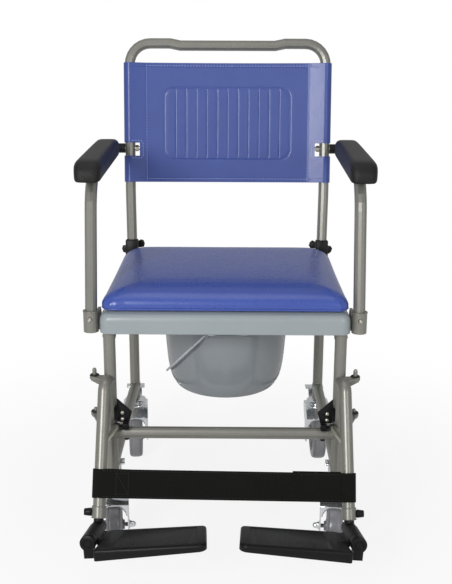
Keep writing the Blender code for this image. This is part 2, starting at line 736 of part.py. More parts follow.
def cushion_cage():
    """Two layers of blocks whose rim is drawn in and whose top middle is raised."""
    across = (-1.0, -0.87, 0.87, 1.0)
    along = (-1.0, -0.88, 0.80, 1.0)
    spread = (0.985, 1.004, 0.984)
    heights = (0.0, 0.36, 1.0)
    last = len(across) - 1
    bm = bmesh.new()
    verts = {}
    for k, height in enumerate(heights):
        for i, u in enumerate(across):
            for j, v in enumerate(along):
                on_rim = i in (0, last) or j in (0, last)
                if k == 1 and not on_rim:
                    continue
                grow = spread[k] if on_rim else 1.0
                crown = 0.0 if on_rim or k == 0 else 0.14
                verts[i, j, k] = bm.verts.new((u * grow, v * grow, height + crown))


    def face(*places):
        bm.faces.new([verts[place] for place in places])

    for i in range(last):
        for j in range(last):
            for k in (0, 2):
                face((i, j, k), (i + 1, j, k), (i + 1, j + 1, k), (i, j + 1, k))
    for k in (0, 1):
        for i in range(last):
            for j in (0, last):
                face((i, j, k), (i + 1, j, k), (i + 1, j, k + 1), (i, j, k + 1))
                face((j, i, k), (j, i + 1, k), (j, i + 1, k + 1), (j, i, k + 1))
    bmesh.ops.recalc_face_normals(bm, faces=bm.faces)
    return object_from_bmesh("seat_cushion", bm)


def seat_cushion():
    """The cage smoothed by subdivision, then fitted to the cushion's outer size."""
    cushion = cushion_cage()
    smooth = cushion.modifiers.new("smooth", "SUBSURF")
    smooth.levels = 2
    smooth.render_levels = 2
    cushion = as_mesh(cushion)
    places = [vert.co.copy() for vert in cushion.data.vertices]
    least = [min(place[i] for place in places) for i in range(3)]
    most = [max(place[i] for place in places) for i in range(3)]
    size = (2 * CUSHION_HALF_WIDTH, CUSHION_DEPTH, CUSHION_THICK)
    start = (-CUSHION_HALF_WIDTH, FRONT_LEG_Y - CUSHION_FRONT_OVERHANG, SEAT_TOP_Z + PART_GAP)
    for vert in cushion.data.vertices:
        for i in range(3):
            share = (vert.co[i] - least[i]) / (most[i] - least[i])
            vert.co[i] = start[i] + share * size[i]
    lift = pivot("cushion_lift", (0, start[1] + CUSHION_DEPTH / 2, start[2]))
    return finish(cushion, BLUE_VINYL, lift)


def bucket_and_bail():
    rim = BUCKET_RIM_Z
    base = rim - BUCKET_HEIGHT
    wall = BUCKET_WALL
    under = rim - FLANGE_THICK
    spread = BUCKET_TOP_R - BUCKET_BASE_R
    outer = [(FLANGE_R, rim), (FLANGE_R, under), (BUCKET_TOP_R, under)]
    for drawn_in, down in ((0.09, 0.35), (0.20, 0.63), (0.36, 0.82), (0.60, 0.935), (0.78, 0.979)):
        outer.append((BUCKET_TOP_R - drawn_in * spread, rim - down * BUCKET_HEIGHT))
    outer += [(BUCKET_BASE_R, base), (0.0, base)]
    inner = [(radius - wall, max(height, base + wall)) for radius, height in outer[2:-1]]
    inner[0] = (BUCKET_TOP_R - wall, rim)
    profile = [(0.0, base + wall)] + list(reversed(inner)) + outer
    middle = Matrix.Translation((0, BUCKET_Y, 0))
    bucket = turned("bucket", profile, 26, middle)
    lug_in = FLANGE_R - 0.006
    lug_out = FLANGE_R + 0.002
    pin_z = rim - FLANGE_THICK / 2
    turned_place = middle @ Matrix.Rotation(BAIL_TURN, 4, "Z")
    for side in (-1, 1):
        y = sorted((side * lug_in, side * lug_out))
        lug = box("lug", (-0.007, y[0], pin_z - 0.0045), (0.007, y[1], pin_z + 0.0045), turned_place)
        hole_start = turned_place @ Vector((0, side * (lug_in + 0.0005), pin_z))
        hole_end = turned_place @ Vector((0, side * (lug_out + 0.01), pin_z))
        bucket = join(bucket, lug)
        bucket = cut(bucket, cylinder("hole", BAIL_WIRE_R + RUN_GAP, hole_start, hole_end, 12))
    slide = pivot("bucket_slide", (0, BUCKET_Y, rim))
    finish(bucket, BUCKET_PLASTIC, slide)
    out = Vector((-math.cos(BAIL_DROOP), 0, -math.sin(BAIL_DROOP)))
    half_span = lug_out + 0.005
    path = [Vector((0, -lug_in - 0.0025, pin_z)), Vector((0, -half_span + 0.002, pin_z))]
    for i in range(1, 12):
        angle = math.pi * i / 12
        along = Vector((0, -half_span * math.cos(angle), pin_z))
        path.append(along + out * BAIL_REACH * math.sin(angle))
    path += [Vector((0, half_span - 0.002, pin_z)), Vector((0, lug_in + 0.0025, pin_z))]
    bail = tube("bucket_bail", [turned_place @ place for place in path], BAIL_WIRE_R, 1)
    swing = pivot("bail_swing", turned_place @ Vector((0, 0, pin_z)), slide)
    finish(bail, CLEAR_PLASTIC, swing)


# Back frame, its collars and the sling

def back_collar(name, side):
    x = side * HALF_TRACK
    low = SOCKET_TOP - COLLAR_BELOW
    high = SOCKET_TOP + COLLAR_ABOVE
    place = frame_matrix(back_place(x, 0), (1, 0, 0), LEAN_UP)
    half = COLLAR_HALF_WIDTH
    block = box(f"back_collar_{name}", (-half, -half, low), (half, half, high), place)
    block = bevel(block, 0.003, 2)
    boss_end = back_place(x, SOCKET_TOP, half + 0.008)
    block = join(block, cylinder("boss", 0.008, back_place(x, SOCKET_TOP, 0), boss_end, 12))
    bore = cylinder("bore", TUBE_R + RUN_GAP, back_place(x, low - 0.01), back_place(x, high + 0.01))
    hole_end = back_place(x, SOCKET_TOP, half + 0.02)
    screw_hole = cylinder("screw_hole", KNOB_SCREW_R + RUN_GAP, back_place(x, SOCKET_TOP), hole_end, 12)
    block = cut(block, bore, screw_hole)
    return finish(block, BLACK_PLASTIC)


def wing_knob(name, side, turn):
    x = side * HALF_TRACK
    boss_end = COLLAR_HALF_WIDTH + 0.008
    start = boss_end + PART_GAP
    face = frame_matrix(back_place(x, SOCKET_TOP, start + KNOB_THICK / 2), (1, 0, 0), LEAN_BACK)
    turned_face = face @ Matrix.Rotation(math.radians(turn), 4, "Z")
    reach = KNOB_WING_LENGTH
    wing = [(0.006, 0.006), (reach - 0.004, 0.009), (reach, 0.003)]
    wing += [(reach, -0.005), (reach - 0.005, -0.009), (0.006, -0.006)]
    other = [(-px, -py) for px, py in wing]
    shape = prism(f"wing_knob_{name}", [wing + other], KNOB_THICK, turned_face)
    hub_end = back_place(x, SOCKET_TOP, start + KNOB_THICK + 0.003)
    hub = cylinder("hub", 0.0095, back_place(x, SOCKET_TOP, start), hub_end, 16)
    screw_tip = back_place(x, SOCKET_TOP, TUBE_R + RUN_GAP)
    screw = cylinder("screw", KNOB_SCREW_R, screw_tip, back_place(x, SOCKET_TOP, start + 0.002), 12)
    knob = join(shape, hub, screw)
    spin = pivot(f"wing_knob_spin_{name}", back_place(x, SOCKET_TOP, start))
    return finish(knob, BLACK_PLASTIC, spin)


def back_frame(lift):
    half = BACK_HALF_WIDTH
    foot = SOCKET_TOP + PART_GAP
    top = up_the_back(BACK_HEIGHT)
    dip = BACK_DIP_HALF_WIDTH
    arch = [(-HALF_TRACK, foot), (-HALF_TRACK, SOCKET_TOP + COLLAR_ABOVE + PART_GAP)]
    arch += [(-half, up_the_back(SLING_LOW_Z) - SPREAD_BELOW_SLING), (-half, top - BACK_CORNER_R)]
    arch += [(x, y) for x, y in arc((-half + BACK_CORNER_R, top - BACK_CORNER_R), BACK_CORNER_R, 180, 90, 7)]
    arch += [(-dip - 0.022, top), (-dip, top - BACK_DIP)]
    arch += [(-x, y) for x, y in reversed(arch)]
    path = [back_place(x, up) for x, up in arch]
    frame = tube("back_frame", path, TUBE_R, 4)
    for side in (-1, 1):
        x = side * HALF_TRACK
        spigot_low = back_place(x, SOCKET_TOP - SPIGOT_LENGTH)
        spigot = cylinder("spigot", SPIGOT_R, spigot_low, back_place(x, foot + 0.004))
        bolt_hole = cylinder(
            "bolt_hole",
            ARM_BOLT_R + RUN_GAP,
            pivot_point(side * (half - 0.02)),
            pivot_point(side * (half + 0.02)),
            16,
        )
        frame = join(frame, spigot)
        frame = cut(frame, bolt_hole)
    return finish(frame, SILVER_PAINT, lift)


def sling_section():
    """Outline of the sling seen along the back frame: a sagging panel with a sleeve round each tube."""
    half = BACK_HALF_WIDTH
    inner = TUBE_R + 0.0006
    outer = inner + CLOTH_THICK
    seam = SLING_SEAM_X

    def panel(x):
        return -inner - CLOTH_THICK / 2 + SLING_SAG * (1 - (x / half) ** 2)

    across = [half * (i / 12 * 2 - 1) for i in range(13)]
    front = [(x, panel(x) - CLOTH_THICK / 2) for x in across]
    front[0] = (-half, -outer)
    front[-1] = (half, -outer)
    right_wrap = arc((half, 0), outer, -90, SLEEVE_WRAP - 2, 10)
    back = [(x, panel(x) + CLOTH_THICK / 2) for x in (seam, seam / 2, 0, -seam / 2, -seam)]
    left_wrap = [(-x, y) for x, y in reversed(right_wrap)]
    outline = front[:-1] + right_wrap + back + left_wrap[:-1]
    apex = seam + 0.006
    right_tunnel = arc((half, 0), inner, -85, SLEEVE_WRAP, 10)
    right_tunnel.append((apex, panel(apex) + CLOTH_THICK / 2 + 0.0004))
    left_tunnel = [(-x, y) for x, y in reversed(right_tunnel)]
    return [outline, right_tunnel, left_tunnel]


def back_sling(lift):
    low = up_the_back(SLING_LOW_Z)
    high = up_the_back(SLING_HIGH_Z)
    place = frame_matrix(back_place(0, (low + high) / 2), (1, 0, 0), LEAN_UP)
    sling = prism("back_sling", sling_section(), high - low, place)
    window_low = up_the_back(ARM_PIVOT_Z - WINDOW_BELOW_PIVOT)
    window_high = up_the_back(ARM_PIVOT_Z + WINDOW_ABOVE_PIVOT)
    upright = frame_matrix(back_place(0, 0), (1, 0, 0), LEAN_UP)
    for side in (-1, 1):
        x = sorted((side * WINDOW_INNER_X, side * (BACK_HALF_WIDTH + 0.03)))
        sling = cut(sling, box("window", (x[0], -0.03, window_low), (x[1], 0.03, window_high), upright))
    return finish(sling, BLUE_VINYL, lift)


# Arms: a bent tube, hinged on the back frame and hooked on a peg at the seat

def pivot_point(x):
    """A point on the bolt that both arms turn on."""
    return back_place(x, up_the_back(ARM_PIVOT_Z))


def arm_path(side):
    elbow_y = FRONT_LEG_Y + ARM_ELBOW_BACK
    pivot_y = pivot_point(0).y
    corners = [
        (side * ARM_X, FRONT_LEG_Y, ARM_TUBE_FOOT_Z),
        (side * ARM_ELBOW_X, elbow_y, ARM_Z),
        (side * ARM_REAR_X, pivot_y, ARM_Z),
    ]
    return rounded_path(corners, ARM_BEND_R, 7)


def arm_bolt(name, side, lift):
    x_in = BACK_HALF_WIDTH - TUBE_R - PART_GAP
    x_out = ARM_REAR_X + LINK_BOSS_R + PART_GAP

    def turned_piece(piece, radius, near, far, sides):
        return cylinder(piece, radius, pivot_point(side * near), pivot_point(side * far), sides)

    shank = turned_piece(f"arm_bolt_{name}", ARM_BOLT_R, x_in - 0.009, x_out + 0.004, 12)
    nut = turned_piece("nut", 0.0068, x_in - 0.0065, x_in, 6)
    head = turned_piece("head", 0.0068, x_out, x_out + 0.005, 6)
    return finish(join(shank, nut, head), ZINC, lift)


def arm_link(name, side, arm):
    x_in = BACK_HALF_WIDTH + TUBE_R + PART_GAP
    x_out = ARM_REAR_X + LINK_BOSS_R
    link = cylinder(f"arm_link_{name}", LINK_R, pivot_point(side * x_in), pivot_point(side * x_out))
    boss_end = pivot_point(side * ARM_REAR_X) + Vector((0, 0, ARM_Z - ARM_PIVOT_Z))
    boss = cylinder("boss", LINK_BOSS_R, boss_end - Vector((0, 0.024, 0)), boss_end)
    link = join(link, boss)
    link = cut(link, tube("tube_space", arm_path(side), TUBE_R + WELD_GAP, 4))
    plug_in = pivot_point(side * (ARM_REAR_X - LINK_R))
    link = join(link, cylinder("plug", LINK_R, plug_in, pivot_point(side * (ARM_REAR_X + LINK_R))))
    bore_in = pivot_point(side * (x_in - 0.01))
    bore = cylinder("bore", ARM_BOLT_R + RUN_GAP, bore_in, pivot_point(side * (x_out + 0.01)), 12)
    return finish(cut(link, bore), BLACK_PLASTIC, arm)


def arm_tube(name, side, arm):
    path = arm_path(side)
    path[-1] = path[-1].lerp(path[-2], (LINK_R + WELD_GAP) / (path[-1] - path[-2]).length)
    rail = tube(f"arm_tube_{name}", path, TUBE_R, 4)
    x = side * ARM_X
    button_hole = cylinder(
        "button_hole",
        BUTTON_R + RUN_GAP,
        (x, FRONT_LEG_Y - 0.02, BUTTON_Z),
        (x, FRONT_LEG_Y - TUBE_R + BUTTON_PROUD + 0.003, BUTTON_Z),
        16,
    )
    return finish(cut(rail, button_hole), SILVER_PAINT, arm)


def arm_pad(name, side, arm):
    front_y = FRONT_LEG_Y + PAD_FRONT
    pivot_y = pivot_point(0).y
    slope = (ARM_REAR_X - ARM_ELBOW_X) / (pivot_y - FRONT_LEG_Y - ARM_ELBOW_BACK)
    front_x = side * (ARM_ELBOW_X - slope * (ARM_ELBOW_BACK - PAD_FRONT))
    along = Vector((side * slope, 1, 0)).normalized()
    place = frame_matrix((front_x, front_y, 0), (along.y, -along.x, 0), (0, 0, 1))
    half = PAD_WIDTH / 2
    tall = PAD_TOP_Z - PAD_UNDER_Z
    section = arc((half - 0.011, tall - 0.011), 0.011, 0, 90, 4)
    section += [(-x, z) for x, z in reversed(section)]
    section += arc((-half + 0.005, 0.005), 0.005, 180, 270, 2)
    section += arc((half - 0.005, 0.005), 0.005, 270, 360, 2)
    stations = [(0.0, 0.015, 0.018), (0.0015, 0.008, 0.012), (0.005, 0.0035, 0.006)]
    stations += [(0.011, 0.001, 0.002), (0.020, 0.0, 0.0)]
    stations += [(PAD_LENGTH - y * 0.6, narrow * 0.6, drop * 0.6) for y, narrow, drop in reversed(stations)]
    rings = []
    for y, narrow, drop in stations:
        ring = []
        for x, z in section:
            lift = min(narrow * 0.25, 0.003) * (1 - z / tall)
            ring.append((x * (1 - narrow / half), y, PAD_UNDER_Z + z * (1 - drop / tall) + lift))
        rings.append(ring)
    pad = loft(f"arm_pad_{name}", rings, place)
    pad = cut(pad, tube("tube_space", arm_path(side), TUBE_R + WELD_GAP, 4))
    return finish(pad, BLACK_FOAM, arm)


def arm_foot(name, side, arm):
    """A sleeve on the arm's foot, with a plate behind it whose notch drops over the peg."""
    x = side * ARM_X

    def foot_cylinder(piece, radius, low, high):
        return cylinder(piece, radius, (x, FRONT_LEG_Y, low), (x, FRONT_LEG_Y, high))

    sleeve = foot_cylinder(f"arm_foot_{name}", SLEEVE_R, SLEEVE_LOW_Z, SLEEVE_HIGH_Z)
    plate_in = SEAT_HALF_WIDTH + 0.0025
    side_view = frame_matrix((side * (plate_in + HOOK_THICK / 2), FRONT_LEG_Y, 0), (0, 1, 0), (1, 0, 0))
    plate_top = SLEEVE_HIGH_Z - 0.001
    plate_rear = PEG_BEHIND_LEG + 0.013
    outline = [(0.0065, SLEEVE_LOW_Z + 0.001), (plate_rear, SLEEVE_LOW_Z + 0.001)]
    outline += [(plate_rear, plate_top - 0.012), (plate_rear - 0.008, plate_top), (0.0065, plate_top)]
    plate = prism("plate", [outline], HOOK_THICK, side_view)
    foot = join(sleeve, plate)
    bore = tube("bore", arm_path(side), TUBE_R + WELD_GAP, 4)
    drain = foot_cylinder("drain", TUBE_R + WELD_GAP, SLEEVE_LOW_Z - 0.01, ARM_TUBE_FOOT_Z + 0.002)
    grip = PEG_R + 0.0008
    notch_low = SLEEVE_LOW_Z - 0.01
    notch = arc((PEG_BEHIND_LEG, PEG_Z), grip, 0, 180, 8)
    notch += [(PEG_BEHIND_LEG - grip - 0.0055, notch_low), (PEG_BEHIND_LEG + grip + 0.017, notch_low)]
    gap = prism("notch", [notch], 3 * HOOK_THICK, side_view)
    hole_start = (x, FRONT_LEG_Y - 0.03, BUTTON_Z)
    hole = cylinder("button_hole", BUTTON_R + RUN_GAP, hole_start, (x, FRONT_LEG_Y, BUTTON_Z), 16)
    return finish(cut(foot, bore, drain, gap, hole), SILVER_PAINT, arm)


def arm_button(name, side, arm):
    x = side * ARM_X
    face_y = FRONT_LEG_Y - SLEEVE_R - BUTTON_PROUD
    inner_y = FRONT_LEG_Y - TUBE_R + 0.0015
    outer_end = (x, face_y, BUTTON_Z)
    button = domed_pin(f"arm_button_{name}", BUTTON_R, (x, inner_y, BUTTON_Z), outer_end, 0.0015)
    press = pivot(f"arm_button_press_{name}", (x, face_y, BUTTON_Z), arm)
    return finish(button, ZINC, press)


# Swing-away leg rests

def hanger_axis(side, z):
    """A point on the straight, lower part of the hanger tube."""
    bend_y = FRONT_LEG_Y - HANGER_BEND_FORWARD
    drop = HANGER_BEND_Z - z
    x = HANGER_X + drop * math.tan(HANGER_SPLAY)
    return Vector((side * x, bend_y - drop * math.tan(HANGER_LEAN), z))


def hanger_down(side):
    return (hanger_axis(side, 0) - hanger_axis(side, 1)).normalized()


def hanger(name, side, swing):
    pin_x = side * (HALF_TRACK + PIN_OUT)
    top = (side * (HALF_TRACK + 0.001), FRONT_LEG_Y - 0.004, HANGER_TOP_Z)
    end = hanger_axis(side, HANGER_LOW_Z)
    path = rounded_path([top, hanger_axis(side, HANGER_BEND_Z), end], 0.05, 4)
    body = tube(f"hanger_{name}", path, TUBE_R, 4)
    clamp = cylinder("clamp", CLAMP_R, end - hanger_down(side) * CLAMP_LENGTH, end)
    body = join(body, clamp)
    behind = sorted((side * (HALF_TRACK - 0.02), side * (pin_x * side + 0.005)))
    behind_leg = box(
        "behind",
        (behind[0], FRONT_LEG_Y - 0.003, HANGER_BEND_Z),
        (behind[1], FRONT_LEG_Y + 0.03, HANGER_TOP_Z + 0.03),
    )
    ear_room = box(
        "ear_room",
        (behind[0], FRONT_LEG_Y - EAR_R - RUN_GAP, UPPER_EAR_Z - 0.010),
        (behind[1], FRONT_LEG_Y + 0.03, UPPER_EAR_Z + EAR_THICK + RUN_GAP),
    )
    body = cut(body, leg_cutter(side, FRONT_LEG_Y, 0.2, HANGER_TOP_Z + 0.05, RUN_GAP), behind_leg, ear_room)
    for ear_z in (UPPER_EAR_Z, LOWER_EAR_Z):
        low = ear_z + EAR_THICK + RUN_GAP
        if ear_z < HANGER_BEND_Z:
            reach = hanger_axis(side, ear_z)
        else:
            reach = Vector((side * (HALF_TRACK + 0.004), FRONT_LEG_Y - 0.022, 0))
        toward = Vector((reach.x - pin_x, reach.y - FRONT_LEG_Y, 0))
        place = frame_matrix((pin_x, FRONT_LEG_Y, low + EAR_THICK / 2), toward, (0, 0, 1))
        outline = arc((0, 0), EAR_R, 60, 300, 9) + [(toward.length, -0.0075), (toward.length, 0.0075)]
        eye = arc((0, 0), PIN_R + RUN_GAP, 0, 330, 11)
        body = join(body, prism("ear", [outline, eye], EAR_THICK, place))
    strut_start = hanger_axis(side, 0.236)
    strut_end = strut_tip(side)
    bare_pin = (strut_start - strut_end).normalized() * 0.010
    strut = cylinder("strut", STRUT_R, strut_start, strut_end + bare_pin, 12)
    pin = cylinder("pin", STRUT_PIN_R, strut_start, strut_end, 12)
    body = join(body, strut, pin)
    bore_start = end + hanger_down(side) * 0.01
    bore_end = end - hanger_down(side) * STEM_BORE_DEPTH
    body = cut(body, cylinder("stem_bore", CARRIER_STEM_R + RUN_GAP, bore_start, bore_end))
    knob_place = end - hanger_down(side) * (CLAMP_LENGTH / 2)
    hole_end = knob_place + Vector((side * 0.03, 0, 0))
    screw_hole = cylinder("screw_hole", CLAMP_SCREW_R + RUN_GAP, knob_place, hole_end, 12)
    body = cut(body, screw_hole)
    return finish(body, SILVER_PAINT, swing)


def strut_tip(side):
    return Vector((side * (HALF_TRACK - 0.0145), FRONT_LEG_Y - 0.012, 0.2515))


def height_knob(name, side, swing):
    middle = hanger_axis(side, HANGER_LOW_Z) - hanger_down(side) * (CLAMP_LENGTH / 2)
    start = middle + Vector((side * (CLAMP_R + PART_GAP), 0, 0))
    end = start + Vector((side * CLAMP_KNOB_LENGTH, 0, 0))
    knob = cylinder(f"height_knob_{name}", CLAMP_KNOB_R, start, end, 12, CLAMP_KNOB_R - 0.0015)
    screw_end = middle + Vector((side * (CARRIER_STEM_R + 0.0012), 0, 0))
    screw = cylinder("screw", CLAMP_SCREW_R, screw_end, start + Vector((side * 0.002, 0, 0)), 12)
    spin = pivot(f"height_knob_spin_{name}", start, swing)
    return finish(join(knob, screw), BLACK_PLASTIC, spin)


def latch_plate(name, side):
    """The black keeper that is screwed beside the leg, above the cross tube."""
    leg_face = HALF_TRACK - TUBE_R
    outline = [(leg_face - 0.0005, 0.301), (0.172, 0.275), (0.1775, 0.2545), (leg_face - 0.0005, 0.2545)]
    outline = [(side * x, z) for x, z in outline]
    plate_y = FRONT_LEG_Y - 0.0095
    place = frame_matrix((0, plate_y, 0), (1, 0, 0), (0, -1, 0))
    plate = prism(f"latch_plate_{name}", [outline], LATCH_PLATE_THICK, place)
    back_x = sorted((side * 0.190, side * HALF_TRACK))
    back = box("back", (back_x[0], plate_y, 0.257), (back_x[1], FRONT_LEG_Y + 0.004, 0.283))
    plate = join(plate, back)
    for screw_z in (0.2738, 0.2615):
        screw = Vector((side * 0.1895, plate_y - LATCH_PLATE_THICK / 2, screw_z))
        head = cylinder("screw", 0.0032, screw + Vector((0, 0.001, 0)), screw - Vector((0, 0.002, 0)), 12)
        plate = join(plate, head)
    return finish(cut(plate, leg_cutter(side, FRONT_LEG_Y, 0.24, 0.32)), BLACK_PLASTIC)


def latch_catch(name, side):
    """A sprung block on the cross tube whose finger lies under the hanger's strut pin."""
    tip = strut_tip(side)
    low_z = CROSS_TUBE_Z + TUBE_R + 0.0006
    block_x = sorted((side * 0.178, side * 0.190))
    block_top = low_z + 0.0125
    block_low = (block_x[0], FRONT_LEG_Y - 0.019, low_z)
    block = box(f"latch_catch_{name}", block_low, (block_x[1], FRONT_LEG_Y + 0.004, block_top))
    block = bevel(block, 0.0015, 1)
    finger_x = sorted((side * 0.188, tip.x))
    finger_top = tip.z - STRUT_PIN_R - PART_GAP
    finger_low = (finger_x[0], tip.y + 0.001, low_z + 0.002)
    finger = box("finger", finger_low, (finger_x[1], tip.y + 0.006, finger_top))
    slide = pivot(f"latch_slide_{name}", (side * 0.184, FRONT_LEG_Y, low_z))
    return finish(join(block, finger), BLACK_PLASTIC, slide)


# Footplates

def hinge_knuckle(side):
    """Where the hanger's axis meets the footplate's hinge axis."""
    return hanger_axis(side, HANGER_LOW_Z) + hanger_down(side) * (HINGE_BARREL_R + 0.0030)


def foot_axes(side):
    level = math.cos(FOOT_TILT)
    forward = Vector((side * math.sin(TOE_OUT) * level, -math.cos(TOE_OUT) * level, math.sin(FOOT_TILT)))
    inward = Vector((-side * math.cos(TOE_OUT), -math.sin(TOE_OUT), 0))
    up = inward.cross(forward) * side
    up = up if up.z > 0 else -up
    turn = Matrix.Rotation(side * FOOT_ROLL, 3, forward)
    lifted = turn @ inward
    if lifted.z < inward.z:
        turn = Matrix.Rotation(-side * FOOT_ROLL, 3, forward)
    return forward, turn @ inward, turn @ up


def foot_point(side, ahead, across, above=0.0):
    forward, inward, up = foot_axes(side)
    return hinge_knuckle(side) + forward * ahead + inward * across + up * above


def hinge_piece(side, piece, radius, start, end):
    """A round piece of the footplate's hinge, between two places along its axis."""
    return cylinder(piece, radius, foot_point(side, start, 0), foot_point(side, end, 0))


def foot_carrier(name, side, slide):
    stem_top = hanger_axis(side, HANGER_LOW_Z) - hanger_down(side) * CARRIER_STEM_LENGTH
    stem = cylinder(f"foot_carrier_{name}", CARRIER_STEM_R, stem_top, hinge_knuckle(side))
    barrel = hinge_piece(side, "barrel", HINGE_BARREL_R, -0.010, BARREL_END)
    shaft_end = BARREL_END + SLEEVE_LENGTH + CAP_LENGTH - 0.006
    shaft = hinge_piece(side, "shaft", HINGE_SHAFT_R, 0, shaft_end)
    return finish(join(stem, barrel, shaft), BLACK_PLASTIC, slide)


def footplate(name, side, flip):
    forward, inward, up = foot_axes(side)
    sleeve_start = BARREL_END + PART_GAP
    sleeve_end = sleeve_start + SLEEVE_LENGTH
    plan = [(PLATE_REAR_NEAR, PLATE_NEAR), PLATE_FAR_REAR, PLATE_FAR_FRONT, PLATE_FRONT_NEAR]
    corner_radii = (PLATE_NEAR_R, PLATE_FAR_R, PLATE_FAR_R, PLATE_NEAR_R)
    soft = rounded_plan(plan, corner_radii)
    middle = -PLATE_DROP - PLATE_THICK / 2
    place = Matrix((forward, inward, forward.cross(inward))).transposed().to_4x4()
    place.translation = hinge_knuckle(side) + up * middle
    plate = prism(f"footplate_{name}", [soft], PLATE_THICK, place)
    shrink = inset(plan, PLATE_SHELL)
    pocket_place = place.copy()
    pocket_place.translation = hinge_knuckle(side) + up * (middle - PLATE_SHELL)
    plate = cut(plate, prism("pocket", [rounded_plan(shrink, corner_radii)], PLATE_THICK, pocket_place))
    web_low = (sleeve_start + 0.004, 0.0, -PLATE_DROP - 0.009)
    web_high = (sleeve_end, PLATE_NEAR + 0.003, -PLATE_DROP - 0.0005)
    web = foot_box(side, web_low, web_high)
    underside = -PLATE_DROP - PLATE_THICK
    wedge = foot_box(side, (-0.1, 0, -0.03), (0.2, 0.3, 0))
    tilt = Matrix.Rotation(side * -PLATE_TAPER, 4, forward)
    hinge = Matrix.Translation(foot_point(side, 0, PLATE_NEAR, underside))
    wedge.data.transform(hinge @ tilt @ Matrix.Translation(-hinge_knuckle(side)))
    plate = cut(plate, wedge)
    plate = join(plate, web, hinge_piece(side, "sleeve", HINGE_BARREL_R, sleeve_start, sleeve_end))
    bore = hinge_piece(side, "bore", HINGE_SHAFT_R + RUN_GAP, sleeve_start - 0.01, sleeve_end + 0.01)
    return finish(cut(plate, bore), BLACK_PLASTIC, flip)


def foot_box(side, low, high):
    """A box in the footplate's own directions: ahead, across and above."""
    forward, inward, up = foot_axes(side)
    place = Matrix((forward, inward, up)).transposed().to_4x4()
    place.translation = hinge_knuckle(side)
    thing = box("foot_box", low, high, place)
    if place.determinant() < 0:
        thing.data.flip_normals()
    return thing


def inset(corners, wall):
    """The corners of a four-sided outline moved in by a wall thickness."""
    middle = Vector((sum(c[0] for c in corners) / 4, sum(c[1] for c in corners) / 4))
    moved = []
    for corner in corners:
        offset = Vector(corner) - middle
        step = Vector((math.copysign(wall, offset.x), math.copysign(wall, offset.y)))
        moved.append(tuple(middle + offset - step))
    return moved


def rounded_plan(corners, radii, count=4):
    """A closed outline whose corners are turned into arcs, each with its own radius."""
    points = []
    for i, radius in enumerate(radii):
        around = [corners[i - 1], corners[i], corners[(i + 1) % len(corners)]]
        points += rounded_path([(x, y, 0) for x, y in around], radius, count)[1:-1]
    return [(p.x, p.y) for p in points]


def pivot_cap(name, side, slide):
    start = BARREL_END + PART_GAP + SLEEVE_LENGTH + PART_GAP
    end = start + CAP_LENGTH
    cap = hinge_piece(side, f"pivot_cap_{name}", HINGE_BARREL_R - 0.0012, start, end)
    stop = foot_box(side, (start + 0.003, -0.0085, -0.0265), (end - 0.001, 0.0085, 0.0))
    cap = join(cap, stop)
    bore = hinge_piece(side, "bore", HINGE_SHAFT_R + RUN_GAP, start - 0.01, end - 0.004)
    return finish(cut(cap, bore), BLACK_PLASTIC, slide)


# Calf strap: a band sewn round the left hanger, and a loop round the right one that it meets

def strap_place(side):
    """On the hanger's axis, with X along the strap, which slopes down to the right."""
    slope = Matrix.Rotation(STRAP_SLOPE, 3, (0, math.cos(HANGER_LEAN), -math.sin(HANGER_LEAN)))
    along = slope @ Vector((1, 0, 0))
    down = slope @ Vector((0, -math.sin(HANGER_LEAN), -math.cos(HANGER_LEAN)))
    left = hanger_axis(-1, STRAP_MID_Z)
    span = 2 * abs(left.x)
    middle = left if side < 0 else hanger_axis(1, STRAP_MID_Z + along.z * span)
    return frame_matrix(middle, along, down)


def calf_strap(name, side, swing):
    """Outlines seen along the hanger's axis, with the front of the strap at positive y."""
    inner = TUBE_R + STRAP_SLACK
    outer = inner + STRAP_THICK
    if side > 0:
        outline = [(-outer, 0), (-outer, outer), (0, outer)] + arc((0, 0), outer, 90, -180, 14)[1:-1]
        tunnel = arc((0, 0), inner, 0, 360, 18)[:-1]
    else:
        span = (strap_place(1).translation - strap_place(-1).translation).length
        band_end = span - outer - PART_GAP
        lap_start = span - STRAP_LAP
        sew_x = STRAP_SEWN
        back = inner - STRAP_THICK
        outline = [(band_end, outer)] + arc((0, 0), outer, 90, 280, 9)
        outline += [(sew_x, back), (sew_x + 0.002, inner), (lap_start, inner)]
        outline += [(lap_start + 0.001, back), (band_end, back)]
        tunnel = arc((0, 0), inner, 90, 280, 9) + [(sew_x - 0.006, inner - 0.0003)]
    strap = prism(f"calf_strap_{name}", [outline, tunnel], STRAP_WIDTH, strap_place(side))
    return finish(strap, WEBBING, swing)


